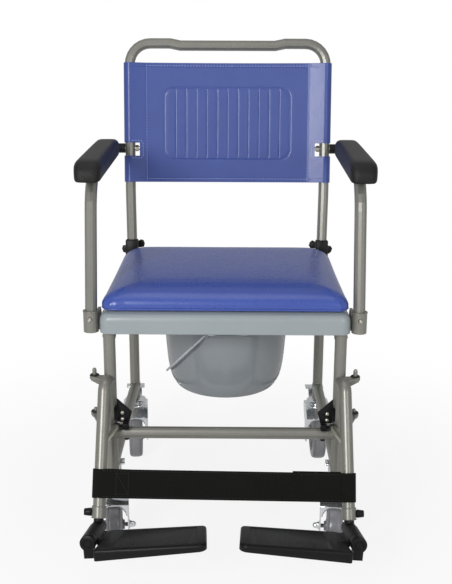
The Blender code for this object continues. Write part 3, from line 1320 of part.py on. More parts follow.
def build_chair():
    for name, side in SIDES.items():
        front_leg(name, side)
        rear_leg(name, side)
        lower_rail(name, side)
        seat_rail(name, side)
    cross_tube("front_cross_tube", FRONT_LEG_Y, CROSS_TUBE_Z)
    cross_tube("seat_rear_tube", REAR_LEG_Y, SEAT_RAIL_Z)
    castors()
    seat_moulding()
    seat_cushion()
    bucket_and_bail()

    back_collar("left", -1)
    back_collar("right", 1)
    wing_knob("left", -1, -19)
    wing_knob("right", 1, 17)
    lift = pivot("back_lift", back_place(0, SOCKET_TOP))
    back_frame(lift)
    back_sling(lift)
    for name, side in SIDES.items():
        arm_bolt(name, side, lift)
        arm = pivot(f"arm_swing_{name}", pivot_point(side * BACK_HALF_WIDTH), lift)
        arm_link(name, side, arm)
        arm_tube(name, side, arm)
        arm_pad(name, side, arm)
        arm_foot(name, side, arm)
        arm_button(name, side, arm)

    for name, side in SIDES.items():
        latch_plate(name, side)
        latch_catch(name, side)
        pin_x = side * (HALF_TRACK + PIN_OUT)
        swing = pivot(f"hanger_swing_{name}", (pin_x, FRONT_LEG_Y, UPPER_EAR_Z))
        hanger(name, side, swing)
        height_knob(name, side, swing)
        calf_strap(name, side, swing)
        slide = pivot(f"foot_slide_{name}", hanger_axis(side, HANGER_LOW_Z), swing)
        foot_carrier(name, side, slide)
        pivot_cap(name, side, slide)
        flip = pivot(f"foot_flip_{name}", hinge_knuckle(side), slide)
        footplate(name, side, flip)


build_chair()
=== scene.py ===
# %% [markdown]
# This lesson dresses a wheeled commode chair: a silver-grey tube frame on four castors, with a blue
# cushion and back sling, padded arms, a bucket and two swing-away leg rests. The chair's solids come
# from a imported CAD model, and every piece made here rides on one of its moving bodies. Loading the
# solids first means that each new piece takes its place from them and needs no fitting.

import math

import bmesh
import bpy
import numpy as np
from mathutils import Matrix, Vector
from mathutils.bvhtree import BVHTree


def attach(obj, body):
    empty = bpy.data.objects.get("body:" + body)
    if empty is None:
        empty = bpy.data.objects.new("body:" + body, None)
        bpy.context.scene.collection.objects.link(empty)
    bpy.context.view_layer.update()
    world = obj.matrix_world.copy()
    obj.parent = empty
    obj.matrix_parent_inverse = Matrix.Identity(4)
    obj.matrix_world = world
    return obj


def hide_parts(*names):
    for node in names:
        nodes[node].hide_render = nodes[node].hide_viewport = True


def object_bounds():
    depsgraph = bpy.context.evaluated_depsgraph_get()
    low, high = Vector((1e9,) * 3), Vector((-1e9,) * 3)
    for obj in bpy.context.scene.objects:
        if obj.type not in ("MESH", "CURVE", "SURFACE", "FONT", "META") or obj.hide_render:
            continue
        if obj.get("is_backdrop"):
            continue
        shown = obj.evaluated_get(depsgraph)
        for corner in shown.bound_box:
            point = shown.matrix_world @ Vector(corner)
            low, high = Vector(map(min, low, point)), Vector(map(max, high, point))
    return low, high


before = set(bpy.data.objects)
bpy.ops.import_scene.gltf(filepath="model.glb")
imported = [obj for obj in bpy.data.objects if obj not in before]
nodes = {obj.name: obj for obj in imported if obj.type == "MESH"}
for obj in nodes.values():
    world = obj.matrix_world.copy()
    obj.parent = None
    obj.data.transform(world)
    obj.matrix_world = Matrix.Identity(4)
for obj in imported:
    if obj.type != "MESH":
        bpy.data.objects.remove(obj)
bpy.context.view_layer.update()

# %% [markdown]
# The real photograph was taken from the front, a little above the seat. Blender's camera gets the same
# place, tilt and lens, so that the render can be laid beside it. The shift stays tiny, because other
# views of the chair keep it. The numbers were fitted to the straight edges of the legs and rails.

# %% Camera
FRONT_LEG_Y = -0.1266
PICTURE_HEIGHT = 584
CAMERA_PITCH = math.radians(15.52)
CAMERA_ROLL = math.radians(0.19)
CAMERA_YAW = math.radians(-0.47)
CAMERA_AHEAD = 1.614
CAMERA_HEIGHT = 0.951
FOCAL_PIXELS = 931.2
SENSOR_HEIGHT = 36
SHIFT_PIXELS = (0.9, 0.2)


def add_object(name, data):
    thing = bpy.data.objects.new(name, data)
    bpy.context.scene.collection.objects.link(thing)
    return thing


camera_data = bpy.data.cameras.new("camera")
camera_data.sensor_fit = "VERTICAL"
camera_data.sensor_height = SENSOR_HEIGHT
camera_data.lens = SENSOR_HEIGHT * FOCAL_PIXELS / PICTURE_HEIGHT
camera_data.shift_x = SHIFT_PIXELS[0] / PICTURE_HEIGHT
camera_data.shift_y = SHIFT_PIXELS[1] / PICTURE_HEIGHT
camera = add_object("camera", camera_data)
camera_base = Matrix.Translation((0, FRONT_LEG_Y, 0)) @ Matrix.Rotation(-CAMERA_YAW, 4, "Z")
camera_tilt = Matrix.Rotation(math.radians(90) - CAMERA_PITCH, 4, "X")
camera_tilt = camera_tilt @ Matrix.Rotation(CAMERA_ROLL, 4, "Z")
camera.matrix_world = camera_base @ Matrix.Translation((0, -CAMERA_AHEAD, CAMERA_HEIGHT)) @ camera_tilt
bpy.context.scene.camera = camera
print("lens in mm:", round(camera_data.lens, 1))

# %% [markdown]
# Small helpers serve every finish below. The first turns an sRGB hex value, as a colour picker gives
# it, into the linear numbers that shaders compute with. The second adds one node with its settings and
# its links; three more add the nodes that come up most. The last starts a material to draw patterns on.

# %% Helpers for finishes
def linear(hex_code):
    channels = []
    for i in (1, 3, 5):
        value = int(hex_code[i:i + 2], 16) / 255
        channels.append(value / 12.92 if value <= 0.04045 else ((value + 0.055) / 1.055) ** 2.4)
    return (*channels, 1.0)


def add_node(tree, kind, inputs=None, **settings):
    """Add a node. inputs maps a socket's name or number to a value, or to the output that feeds it."""
    node = tree.nodes.new(kind)
    for key, value in settings.items():
        setattr(node, key, value)
    for key, value in (inputs or {}).items():
        if isinstance(value, bpy.types.NodeSocket):
            tree.links.new(value, node.inputs[key])
        else:
            node.inputs[key].default_value = value
    return node


def compute(tree, operation, *values):
    """What one Math node makes of the values, which are numbers or outputs."""
    return add_node(tree, "ShaderNodeMath", dict(enumerate(values)), operation=operation).outputs[0]


def combine(tree, x=0.0, y=0.0, z=0.0):
    return add_node(tree, "ShaderNodeCombineXYZ", {0: x, 1: y, 2: z}).outputs[0]


def add_bump(tree, shader, height, metres, **more):
    """A bump as deep as the given metres. It takes the place of the shader's earlier one."""
    bump = add_node(tree, "ShaderNodeBump", {"Height": height, "Distance": metres, **more})
    tree.links.new(bump.outputs["Normal"], shader.inputs["Normal"])
    return bump.outputs["Normal"]


def start_finish(name, **sockets):
    """A new material with a Principled shader, and object coordinates in metres to draw patterns by."""
    finish = bpy.data.materials.new(name)
    finish.use_nodes = True
    tree = finish.node_tree
    shader = tree.nodes["Principled BSDF"]
    for key, value in sockets.items():
        shader.inputs[key.replace("_", " ")].default_value = value
    place = add_node(tree, "ShaderNodeTexCoord").outputs["Object"]
    return finish, tree, shader, place


# %% [markdown]
# Many of the chair's surfaces share one kind of irregularity: the colour drifts slightly over some
# centimetres, and the gloss is broken by a finer pattern. One function adds both to a shader, from a
# large noise for the colour and a fine one for roughness and bump, with sizes in millimetres.

# %% Uneven colour and gloss
def weather(tree, shader, place, light, dark, drift_mm, grain_mm, rough, bump_mm):
    """Feed the shader from two noises. Returns the outputs of its colour and its bump."""
    drift = add_node(tree, "ShaderNodeTexNoise", {"Vector": place, "Scale": 1000 / drift_mm, "Detail": 3.0})
    shades = {0: drift.outputs["Fac"], 6: linear(light), 7: linear(dark)}
    colour = add_node(tree, "ShaderNodeMix", shades, data_type="RGBA").outputs[2]
    tree.links.new(colour, shader.inputs["Base Color"])
    grain = add_node(
        tree, "ShaderNodeTexNoise", {"Vector": place, "Scale": 1000 / grain_mm, "Detail": 4.0}
    ).outputs["Fac"]
    roughness = add_node(tree, "ShaderNodeMapRange", {0: grain, 3: rough[0], 4: rough[1]})
    tree.links.new(roughness.outputs[0], shader.inputs["Roughness"])
    return colour, add_bump(tree, shader, grain, bump_mm / 1000)


def weathered(name, light, dark, drift_mm, grain_mm, rough, bump_mm, **sockets):
    """A finish that needs nothing beyond the uneven colour and gloss."""
    finish, tree, shader, place = start_finish(name, **sockets)
    weather(tree, shader, place, light, dark, drift_mm, grain_mm, rough, bump_mm)
    return finish


# %% [markdown]
# The tubes are mild steel with a silver-grey powder coat: fine aluminium flake in polyester, sprayed
# and baked. It gives soft, broad highlights and a faint orange-peel ripple of about 3 mm. The flake is
# far smaller than a pixel, so a 1 mm speckle stands for it.

# %% Silver powder coat
powder_coat, tree, shader, place = start_finish("silver_powder_coat", Metallic=0.45, IOR=1.5)
colour = weather(
    tree, shader, place, "#8b8a83", "#82817a", drift_mm=60, grain_mm=3, rough=(0.34, 0.39), bump_mm=0.012
)[0]
flake = add_node(tree, "ShaderNodeTexVoronoi", {"Vector": place, "Scale": 1000.0})
fleck = add_node(
    tree, "ShaderNodeMix", {0: 0.10, 6: colour, 7: flake.outputs["Color"]},
    data_type="RGBA", blend_type="OVERLAY",
)
tree.links.new(fleck.outputs[2], shader.inputs["Base Color"])

# %% [markdown]
# Bolts and screws are zinc-plated steel: bright, slightly yellow-grey, with fine tumbling marks. The
# castor forks are nickel-chromed steel, almost a mirror, so what they show is mostly the room. Both
# are metals, so they keep the default IOR.

# %% Zinc and chrome plating
zinc = weathered(
    "zinc_plated_steel", "#d2cfc4", "#b9b4a6",
    drift_mm=8, grain_mm=1.2, rough=(0.22, 0.40), bump_mm=0.02, Metallic=1.0,
)
chrome = weathered(
    "chromed_steel", "#eceef0", "#d8dbde",
    drift_mm=25, grain_mm=6, rough=(0.06, 0.15), bump_mm=0.02, Metallic=0.9,
)

# %% [markdown]
# Knobs, collars, latches and footplates are injection-moulded black nylon. The mould is spark-eroded,
# which leaves a fine satin texture with grains under a millimetre; it is drawn at 0.9 mm to show.

# %% Black moulded nylon
nylon = weathered(
    "black_moulded_nylon", "#0b0b0c", "#070708",
    drift_mm=30, grain_mm=0.9, rough=(0.34, 0.50), bump_mm=0.05, IOR=1.53, Specular_IOR_Level=0.2,
)

# %% [markdown]
# The arm pads are integral-skin polyurethane foam: the skin takes a leather-like grain of cells about
# 2 mm wide from the mould, and is a dull black that goes grey where light grazes it. A Voronoi
# distance gives the cells, and a noise breaks their regularity.

# %% Black skin foam
FOAM_CELL_MM = 2.2
skin_foam, tree, shader, place = start_finish(
    "skinned_polyurethane_foam", IOR=1.5, Specular_IOR_Level=0.3
)
weather(
    tree, shader, place, "#121211", "#0c0c0c", drift_mm=40, grain_mm=1.5, rough=(0.42, 0.56), bump_mm=0.1
)
wobble = add_node(tree, "ShaderNodeTexNoise", {"Vector": place, "Scale": 300.0})
bent = add_node(
    tree, "ShaderNodeVectorMath", {0: wobble.outputs["Color"], "Scale": 0.002}, operation="SCALE"
)
moved = add_node(tree, "ShaderNodeVectorMath", {0: place, 1: bent.outputs[0]})
cells = add_node(
    tree, "ShaderNodeTexVoronoi", {"Vector": moved.outputs[0], "Scale": 1000 / FOAM_CELL_MM}
)
add_bump(tree, shader, cells.outputs["Distance"], 0.0004)

# %% [markdown]
# Cushion and sling are polyester cloth coated with soft PVC, dyed blue and embossed with a fine
# leather grain. The coat is glossy, so the grain shows only as a broken highlight. One function makes
# both finishes, which differ a little in shade and gloss, as two lots of cloth do.

# %% Blue coated cloth
LEATHER_GRAIN_MM = 1.6


def make_vinyl(name, light, dark, rough):
    finish, tree, shader, place = start_finish(name, IOR=1.5)
    waves = weather(
        tree, shader, place, light, dark, drift_mm=90, grain_mm=14, rough=rough, bump_mm=0.12
    )[1]
    cells = add_node(
        tree, "ShaderNodeTexVoronoi", {"Vector": place, "Scale": 1000 / LEATHER_GRAIN_MM},
        feature="SMOOTH_F1",
    )
    add_bump(tree, shader, cells.outputs["Distance"], 0.00012, Normal=waves)
    return finish


cushion_vinyl = make_vinyl("blue_cushion_vinyl", "#4157a8", "#3b509d", (0.24, 0.32))
sling_vinyl = make_vinyl("blue_sling_vinyl", "#40559e", "#3a4e94", (0.26, 0.34))

# %% [markdown]
# The seat is blow-moulded polypropylene, light grey and glossy, with the low waves that such thin
# walls have. The bucket is the same plastic in a darker grey. Its gloss is higher because a bucket
# mould is polished so that it cleans easily.

# %% Seat and bucket plastic
seat_plastic = weathered(
    "light_grey_polypropylene", "#9ba3a6", "#919a9e",
    drift_mm=120, grain_mm=24, rough=(0.26, 0.34), bump_mm=0.25, IOR=1.49,
)
bucket_plastic = weathered(
    "grey_polypropylene", "#8d9397", "#82888c",
    drift_mm=90, grain_mm=30, rough=(0.10, 0.16), bump_mm=0.4, IOR=1.49,
)
bail_plastic = weathered(
    "pale_coated_wire", "#c6cace", "#a9aeb4",
    drift_mm=30, grain_mm=5, rough=(0.22, 0.34), bump_mm=0.03, IOR=1.49,
)

# %% [markdown]
# The tyres are grey thermoplastic rubber, worn smooth on the tread and a little dusty. The dust needs
# no picture: one noise 18 mm wide lightens the grey in patches, and one 2.5 mm wide breaks the gloss.
# Studs, ferrules and pin washers are a duller black rubber.

# %% Grey and black rubber
tyre_rubber = weathered(
    "grey_thermoplastic_rubber", "#8e8e92", "#7a7a7f",
    drift_mm=18, grain_mm=2.5, rough=(0.16, 0.32), bump_mm=0.12, IOR=1.5,
)
black_rubber = weathered(
    "black_rubber", "#18181a", "#0f0f10",
    drift_mm=15, grain_mm=2, rough=(0.5, 0.7), bump_mm=0.1, IOR=1.5,
)

# %% [markdown]
# The calf strap is woven polypropylene webbing. Its warp yarns run along the strap and its weft across
# it. Each strap piece carries a UV map in metres, along and across, so the weave follows the cloth
# round the tubes. Two crossed waves, whose product makes the bumps, stand for the yarns. Real yarns are
# about 1.2 mm apart, while these waves repeat every 12.6 mm, so they show as a soft unevenness.

# %% Black webbing and threads
WEAVE_SCALE = 25.0
webbing, tree, shader, place = start_finish(
    "black_polypropylene_webbing", IOR=1.49, Specular_IOR_Level=0.2
)
weather(
    tree, shader, place, "#0d0d0b", "#090908", drift_mm=25, grain_mm=2, rough=(0.8, 0.95), bump_mm=0.1
)
along_cloth = add_node(tree, "ShaderNodeUVMap", uv_map="cloth").outputs["UV"]
yarns = []
for direction in ("X", "Y"):
    wave = add_node(
        tree, "ShaderNodeTexWave", {"Vector": along_cloth, "Scale": WEAVE_SCALE, "Distortion": 0.6},
        bands_direction=direction,
    )
    yarns.append(wave.outputs["Fac"])
add_bump(tree, shader, compute(tree, "MULTIPLY", *yarns), 0.0005)
blue_thread = weathered(
    "blue_sewing_thread", "#b9c6f0", "#a5b3e4",
    drift_mm=12, grain_mm=1, rough=(0.5, 0.7), bump_mm=0.02, IOR=1.5,
)
black_thread = weathered(
    "black_sewing_thread", "#303030", "#242424",
    drift_mm=12, grain_mm=1, rough=(0.6, 0.8), bump_mm=0.02, IOR=1.5,
)
print("finishes:", len(bpy.data.materials))

# %% [markdown]
# CAD nodes whose shape is right stay as they are and only get a finish, chosen by the start of their
# names. Nodes that are replaced further down get one too, which does no harm.

# %% Dress the CAD nodes
NODE_FINISHES = {
    "front_leg": powder_coat, "rear_leg": powder_coat, "lower_rail": powder_coat, "seat_rail": powder_coat,
    "front_cross": powder_coat, "seat_rear": powder_coat, "back_frame": powder_coat, "arm_tube": powder_coat,
    "arm_foot": powder_coat, "hanger": powder_coat, "arm_bolt": zinc, "arm_button": zinc,
    "castor_fork": chrome, "brake_pedal": chrome, "castor_wheel": tyre_rubber, "back_collar": nylon,
    "wing_knob": nylon, "arm_link": nylon, "height_knob": nylon, "latch": nylon, "foot": nylon,
    "pivot_cap": nylon, "arm_pad": skin_foam, "calf_strap": webbing, "back_sling": sling_vinyl,
    "seat_cushion": cushion_vinyl, "seat_moulding": seat_plastic, "bucket": bucket_plastic,
    "bucket_bail": bail_plastic,
}


def finish_for(name):
    starts = [start for start in NODE_FINISHES if name.startswith(start)]
    return NODE_FINISHES[max(starts, key=len)]


for name, node in nodes.items():
    node.data.materials.clear()
    node.data.materials.append(finish_for(name))
print("dressed nodes:", len(nodes))

# %% [markdown]
# Mesh helpers come next. Each makes a plain mesh at the origin, with its place in its vertices, which
# is what the export expects. `keep` is the last step for every piece: it gives the finish, shades it
# smooth except at real edges, and lets it ride on its body.

# %% Mesh helpers
def new_piece(name, bm):
    mesh = bpy.data.meshes.new(name)
    bm.to_mesh(mesh)
    bm.free()
    return add_object(name, mesh)


def bake(thing):
    """The evaluated mesh of a curve, or of an object with modifiers, as a plain object at the origin."""
    bpy.context.view_layer.update()
    graph = bpy.context.evaluated_depsgraph_get()
    mesh = bpy.data.meshes.new_from_object(thing.evaluated_get(graph), depsgraph=graph)
    mesh.transform(thing.matrix_world)
    name = thing.name
    bpy.data.objects.remove(thing, do_unlink=True)
    return add_object(name, mesh)


def subdivided(piece):
    """The piece after one subdivision, which rounds it."""
    smooth = piece.modifiers.new("smooth", "SUBSURF")
    smooth.levels = 1
    smooth.render_levels = 1
    return bake(piece)


def walled(piece, thickness):
    """The sheet with a thickness, half of it on each side."""
    wall = piece.modifiers.new("wall", "SOLIDIFY")
    wall.thickness = thickness
    wall.offset = 0
    return bake(piece)


def keep(piece, finish, body, replaced=(), sharp=40):
    piece.data.materials.clear()
    piece.data.materials.append(finish)
    piece.data.shade_smooth()
    piece.data.set_sharp_from_angle(angle=math.radians(sharp))
    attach(piece, body)
    if replaced:
        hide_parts(*replaced)
    return piece


def aimed(origin, x_axis, z_axis):
    """A placement whose local X and Z point along the two given directions."""
    z = Vector(z_axis).normalized()
    x = Vector(x_axis)
    x = (x - x.dot(z) * z).normalized()
    matrix = Matrix((x, z.cross(x), z)).transposed().to_4x4()
    matrix.translation = Vector(origin)
    return matrix


def skin(name, rings, matrix=Matrix(), round_trip=False):
    """Faces between rings of equally many points, with a cap at each end or closed on themselves."""
    bm = bmesh.new()
    rows = [[bm.verts.new(point) for point in ring] for ring in rings]
    pairs = list(zip(rows, rows[1:]))
    if round_trip:
        pairs.append((rows[-1], rows[0]))
    count = len(rings[0])
    for row, following in pairs:
        for i in range(count):
            j = (i + 1) % count
            bm.faces.new([row[i], row[j], following[j], following[i]])
    if not round_trip:
        bm.faces.new(rows[0])
        bm.faces.new(rows[-1])
    bmesh.ops.remove_doubles(bm, verts=bm.verts, dist=0.00001)
    bmesh.ops.recalc_face_normals(bm, faces=bm.faces)
    bm.transform(matrix)
    return new_piece(name, bm)


def turned(name, profile, matrix, steps, round_trip=False):
    """A profile of (radius, height) points turned about local Z."""
    rings = []
    for radius, height in profile:
        ring = []
        for i in range(steps):
            angle = 2 * math.pi * i / steps
            ring.append((radius * math.cos(angle), radius * math.sin(angle), height))
        rings.append(ring)
    return skin(name, rings, matrix, round_trip)


def rod(name, points, radius, closed=False, resolution=3):
    """A round wire through the points."""
    curve = bpy.data.curves.new(name, "CURVE")
    curve.dimensions = "3D"
    curve.bevel_depth = radius
    curve.bevel_resolution = resolution
    curve.use_fill_caps = True
    spline = curve.splines.new("POLY")
    spline.points.add(len(points) - 1)
    spline.use_cyclic_u = closed
    for target, point in zip(spline.points, points):
        target.co = (*point, 1)
    return bake(add_object(name, curve))


def arc(center, radius, start, end, count):
    points = []
    for i in range(count + 1):
        angle = math.radians(start + (end - start) * i / count)
        points.append((center[0] + radius * math.cos(angle), center[1] + radius * math.sin(angle)))
    return points


def spaced(start, end, count):
    return [tuple(a + (b - a) * i / count for a, b in zip(start, end)) for i in range(count + 1)]


def rounded_outline(half, front, rear, front_r, rear_r, steps, run=1):
    """A rectangle seen from above with rounded corners, each side divided into equal runs."""
    corners = [
        (half - rear_r, rear - rear_r, rear_r), (-half + rear_r, rear - rear_r, rear_r),
        (-half + front_r, front + front_r, front_r), (half - front_r, front + front_r, front_r),
    ]
    arcs = [arc((x, y), radius, 90 * i, 90 * i + 90, steps) for i, (x, y, radius) in enumerate(corners)]
    points = []
    for here, following in zip(arcs, arcs[1:] + arcs[:1]):
        points += here + spaced(here[-1], following[0], run)[1:-1]
    return points


def corner_arc(before, corner, after, radius, count):
    """The arc that rounds one corner between two straight lines."""
    back = (before - corner).normalized()
    ahead = (after - corner).normalized()
    half = back.angle(ahead) / 2
    middle = corner + (back + ahead).normalized() * radius / math.sin(half)
    first = corner + back * radius / math.tan(half) - middle
    last = corner + ahead * radius / math.tan(half) - middle
    return [middle + first.slerp(last, i / count, first).normalized() * radius for i in range(count + 1)]


def rounded_path(corners, radius, count):
    """A run of straight lines whose inner corners are turned into arcs."""
    corners = [Vector(corner) for corner in corners]
    points = [corners[0]]
    for before, corner, after in zip(corners, corners[1:], corners[2:]):
        points += corner_arc(before, corner, after, radius, count)
    return points + [corners[-1]]


def cut_by(piece, cutters):
    for cutter in cutters:
        change = piece.modifiers.new("cut", "BOOLEAN")
        change.operation = "DIFFERENCE"
        change.object = cutter
    piece = bake(piece)
    for cutter in cutters:
        bpy.data.objects.remove(cutter, do_unlink=True)
    return piece


def cylinder(name, radius, start, end, steps=40):
    start, end = Vector(start), Vector(end)
    long = (end - start).length
    profile = [(0.0, 0.0), (radius, 0.0), (radius, long), (0.0, long)]
    return turned(name, profile, aimed(start, (0.3, 0.9, 0.1), end - start), steps)


SIDES = {"left": -1, "right": 1}
TUBE_R = 0.0111
HALF_TRACK = 0.2115
REAR_LEG_Y = FRONT_LEG_Y + 0.411
print("helpers ready")

# %% [markdown]
# Moulded and pressed parts never have knife edges: a radius of about a millimetre catches the light.
# For nodes whose form is right but whose edges are sharp, a copy is merged and given a Bevel modifier,
# and the copy stands for the node. The node's own mesh isn't touched.

# %% Softened copies of moulded parts
SHARP_EDGE = math.radians(30)


def softened(name, width, body, segments=2):
    bm = bmesh.new()
    bm.from_mesh(nodes[name].data)
    bmesh.ops.remove_doubles(bm, verts=bm.verts, dist=0.00002)
    bmesh.ops.dissolve_limit(bm, angle_limit=math.radians(1), verts=bm.verts, edges=bm.edges)
    piece = new_piece(name + "_soft", bm)
    rounding = piece.modifiers.new("rounding", "BEVEL")
    rounding.width = width
    rounding.segments = segments
    rounding.limit_method = "ANGLE"
    rounding.angle_limit = SHARP_EDGE
    return keep(bake(piece), finish_for(name), body, (name,), sharp=50)


for corner in ("front_left", "front_right", "rear_left", "rear_right"):
    softened(f"castor_fork_{corner}", 0.0009, f"castor_{corner}")
    softened(f"brake_pedal_{corner}", 0.0008, f"brake_{corner}")
for side in SIDES:
    softened(f"back_collar_{side}", 0.0012, "chair_frame")
    softened(f"latch_plate_{side}", 0.0007, "chair_frame")
    softened(f"latch_catch_{side}", 0.0008, f"latch_{side}")
    softened(f"wing_knob_{side}", 0.0018, f"wing_screw_{side}", 3)
    softened(f"pivot_cap_{side}", 0.0012, f"foot_carriage_{side}")
    softened(f"height_knob_{side}", 0.0012, f"height_screw_{side}")

# %% [markdown]
# The cushion is a board with 35 mm foam under blue coated cloth. The top panel is pulled over the edge
# and sewn to the base panel just above the board, so the side bulges and the seam sits low. First comes
# a skin over rounded outlines: the front corners are tighter than the rear ones.

# %% Cushion outline
CUSHION_HALF = 0.2240
CUSHION_DEEP = 0.404
CUSHION_FRONT = FRONT_LEG_Y - 0.023
CUSHION_REAR = CUSHION_FRONT + CUSHION_DEEP
CUSHION_MIDDLE_Y = (CUSHION_FRONT + CUSHION_REAR) / 2
CUSHION_BASE_Z = 0.4706
CUSHION_THICK = 0.041
FRONT_CORNER_R = 0.030
REAR_CORNER_R = 0.052


def cushion_ring(inset, z):
    front_r, rear_r = max(FRONT_CORNER_R - inset, 0.004), max(REAR_CORNER_R - inset, 0.004)
    front, rear = CUSHION_FRONT + inset, CUSHION_REAR - inset
    outline = rounded_outline(CUSHION_HALF - inset, front, rear, front_r, rear_r, steps=10)
    return [(x, y, z) for x, y in outline]


CUSHION_PROFILE = [
    (0.030, 0.0), (0.008, 0.0), (0.003, 0.0010), (0.0010, 0.0035), (0.0, 0.0075), (0.0004, 0.0125),
    (0.0026, 0.0180), (0.0066, 0.0230), (0.0130, 0.0278), (0.0220, 0.0318), (0.0360, 0.0350),
    (0.0560, 0.0372), (0.0850, 0.0382),
]
cushion = skin("cushion", [cushion_ring(inset, CUSHION_BASE_Z + z) for inset, z in CUSHION_PROFILE])
print("cushion outline in mm:", round(2 * CUSHION_HALF * 1000), "x", round(CUSHION_DEEP * 1000))

# %% [markdown]
# Foam presses the cloth outwards, which no outline draws as well as a short cloth simulation: the mesh
# is cut into even 5 mm cells, pressure swells it for 20 frames with gravity off, and each point may
# move at most 2.5 mm. The moves are averaged with their neighbours', which keeps the cloth taut. Then
# the middle of the top rises a little and the lower edge sags, and no point may leave the outline by
# more than a millimetre.

# %% Swell the cushion
CLOTH_FRAMES = 20
CROWN = 0.0015
EDGE_SAG = 0.0032
SPARE = 0.001


def swell(piece, voxel, pressure, most):
    remesh = piece.modifiers.new("remesh", "REMESH")
    remesh.mode = "VOXEL"
    remesh.voxel_size = voxel
    piece = bake(piece)
    ease = piece.modifiers.new("ease", "SMOOTH")
    ease.factor = 0.5
    ease.iterations = 4
    piece = bake(piece)
    start = [vert.co.copy() for vert in piece.data.vertices]
    cloth = piece.modifiers.new("cloth", "CLOTH")
    cloth.settings.quality = 4
    cloth.settings.use_pressure = True
    cloth.settings.uniform_pressure_force = pressure
    cloth.settings.effector_weights.gravity = 0
    for number in range(1, CLOTH_FRAMES + 1):
        bpy.context.scene.frame_set(number)
    piece = bake(piece)
    bpy.context.scene.frame_set(1)
    moves = np.array([vert.co - before for vert, before in zip(piece.data.vertices, start)])
    lengths = np.linalg.norm(moves, axis=1, keepdims=True)
    moves *= np.minimum(1, most / np.maximum(lengths, 1e-9))
    edges = np.array([edge.vertices[:] for edge in piece.data.edges])
    for _ in range(30):
        total = moves.copy()
        count = np.ones((len(moves), 1))
        for a, b in ((0, 1), (1, 0)):
            np.add.at(total, edges[:, a], moves[edges[:, b]])
            np.add.at(count, edges[:, a], 1)
        moves = total / count
    for vert, before, move in zip(piece.data.vertices, start, moves):
        vert.co = before + Vector(move)
    return piece


cushion = swell(cushion, voxel=0.005, pressure=4.0, most=0.0025)
for vert in cushion.data.vertices:
    x, y, z = vert.co
    crown = (1 - (x / CUSHION_HALF) ** 2) * (1 - ((y - CUSHION_MIDDLE_Y) / (CUSHION_DEEP / 2)) ** 2)
    if z > CUSHION_BASE_Z + 0.020:
        z += CROWN * max(crown, 0)
    rim = min(abs(y - CUSHION_FRONT), CUSHION_HALF - abs(x)) if y < 0 else CUSHION_HALF - abs(x)
    if z < CUSHION_BASE_Z + 0.012:
        z -= EDGE_SAG * max(1 - max(rim, 0) / 0.005, 0)
    vert.co = (
        min(max(x, -CUSHION_HALF - SPARE), CUSHION_HALF + SPARE),
        min(max(y, CUSHION_FRONT - SPARE), CUSHION_REAR + SPARE),
        min(z, CUSHION_BASE_Z + CUSHION_THICK + SPARE),
    )
print("cushion points:", len(cushion.data.vertices))

# %% [markdown]
# At the front corners the cloth has too much length for the bend, so the sewer gathers it into small
# pleats that fade out above the seam. Moving the points by a sine of their angle round the corner
# draws those pleats, and a constant part of the move keeps the corner as pointed as the sewn one. A
# subdivision level and a thin piping, laid on the skin by rays, finish the piece.

# %% Corner pleats and piping
PIPING_R = 0.0017
PIPING_PROUD = 0.0008
for vert in cushion.data.vertices:
    for side in (-1, 1):
        center = Vector((side * (CUSHION_HALF - FRONT_CORNER_R), CUSHION_FRONT + FRONT_CORNER_R))
        away = Vector((vert.co.x, vert.co.y)) - center
        if away.x * side > -0.012 and away.y < 0.012 and away.length > 0.012:
            angle = math.atan2(away.y, away.x * side)
            height = (vert.co.z - CUSHION_BASE_Z - 0.009) / 0.016
            fade = math.exp(-height * height) * math.exp(-((angle + math.pi / 4) / 0.75) ** 2)
            fold = (0.0045 + 0.0015 * math.sin(angle * 15)) * fade
            outwards = away.normalized()
            vert.co.x += outwards.x * fold
            vert.co.y += outwards.y * fold
cushion = subdivided(cushion)
keep(cushion, cushion_vinyl, "cushion", ("seat_cushion",), sharp=80)
cushion_skin = BVHTree.FromPolygons(
    [vert.co for vert in cushion.data.vertices], [face.vertices for face in cushion.data.polygons]
)
seam_ring = []
for x, y, z in cushion_ring(-0.004, CUSHION_BASE_Z + 0.0046):
    inwards = Vector((-x, CUSHION_MIDDLE_Y - y, 0)).normalized()
    touch = cushion_skin.ray_cast(Vector((x, y, z)) - inwards * 0.02, inwards)[0]
    seam_ring.append(touch - inwards * PIPING_PROUD)
keep(rod("cushion_piping", seam_ring, PIPING_R, closed=True), cushion_vinyl, "cushion")
print("cushion triangles:", sum(len(face.vertices) - 2 for face in cushion.data.polygons))

# %% [markdown]
# The back sling is one sheet of the same cloth. Its ends go round the back tubes and are sewn to its
# rear face, which makes a sleeve for each tube, and it sags a little between them. The path below is
# the middle of the cloth seen from above: rear seam, round the left tube, across, round the right tube
# and back to its seam.

# %% The sling's path
BACK_LEAN = math.radians(8)
BACK_BEND_Z = 0.438
BACK_HALF = 0.2135
CLOTH = 0.0016
CLOTH_GAP = 0.0006
SAG = 0.014
SLEEVE_DROP = 0.0075
SEAM_X = 0.177
SLEEVE_WRAP = 123
EMBOSS_HALF = 0.138
WELDS = [0.0227 * (i - 5) for i in range(11)]
LEAN_UP = Vector((0, math.sin(BACK_LEAN), math.cos(BACK_LEAN)))
LEAN_BACK = Vector((0, math.cos(BACK_LEAN), -math.sin(BACK_LEAN)))


def back_place(x, up, behind=0.0):
    return Vector((x, REAR_LEG_Y, BACK_BEND_Z)) + LEAN_UP * up + LEAN_BACK * behind


def up_the_back(height):
    return (height - BACK_BEND_Z) / math.cos(BACK_LEAN)


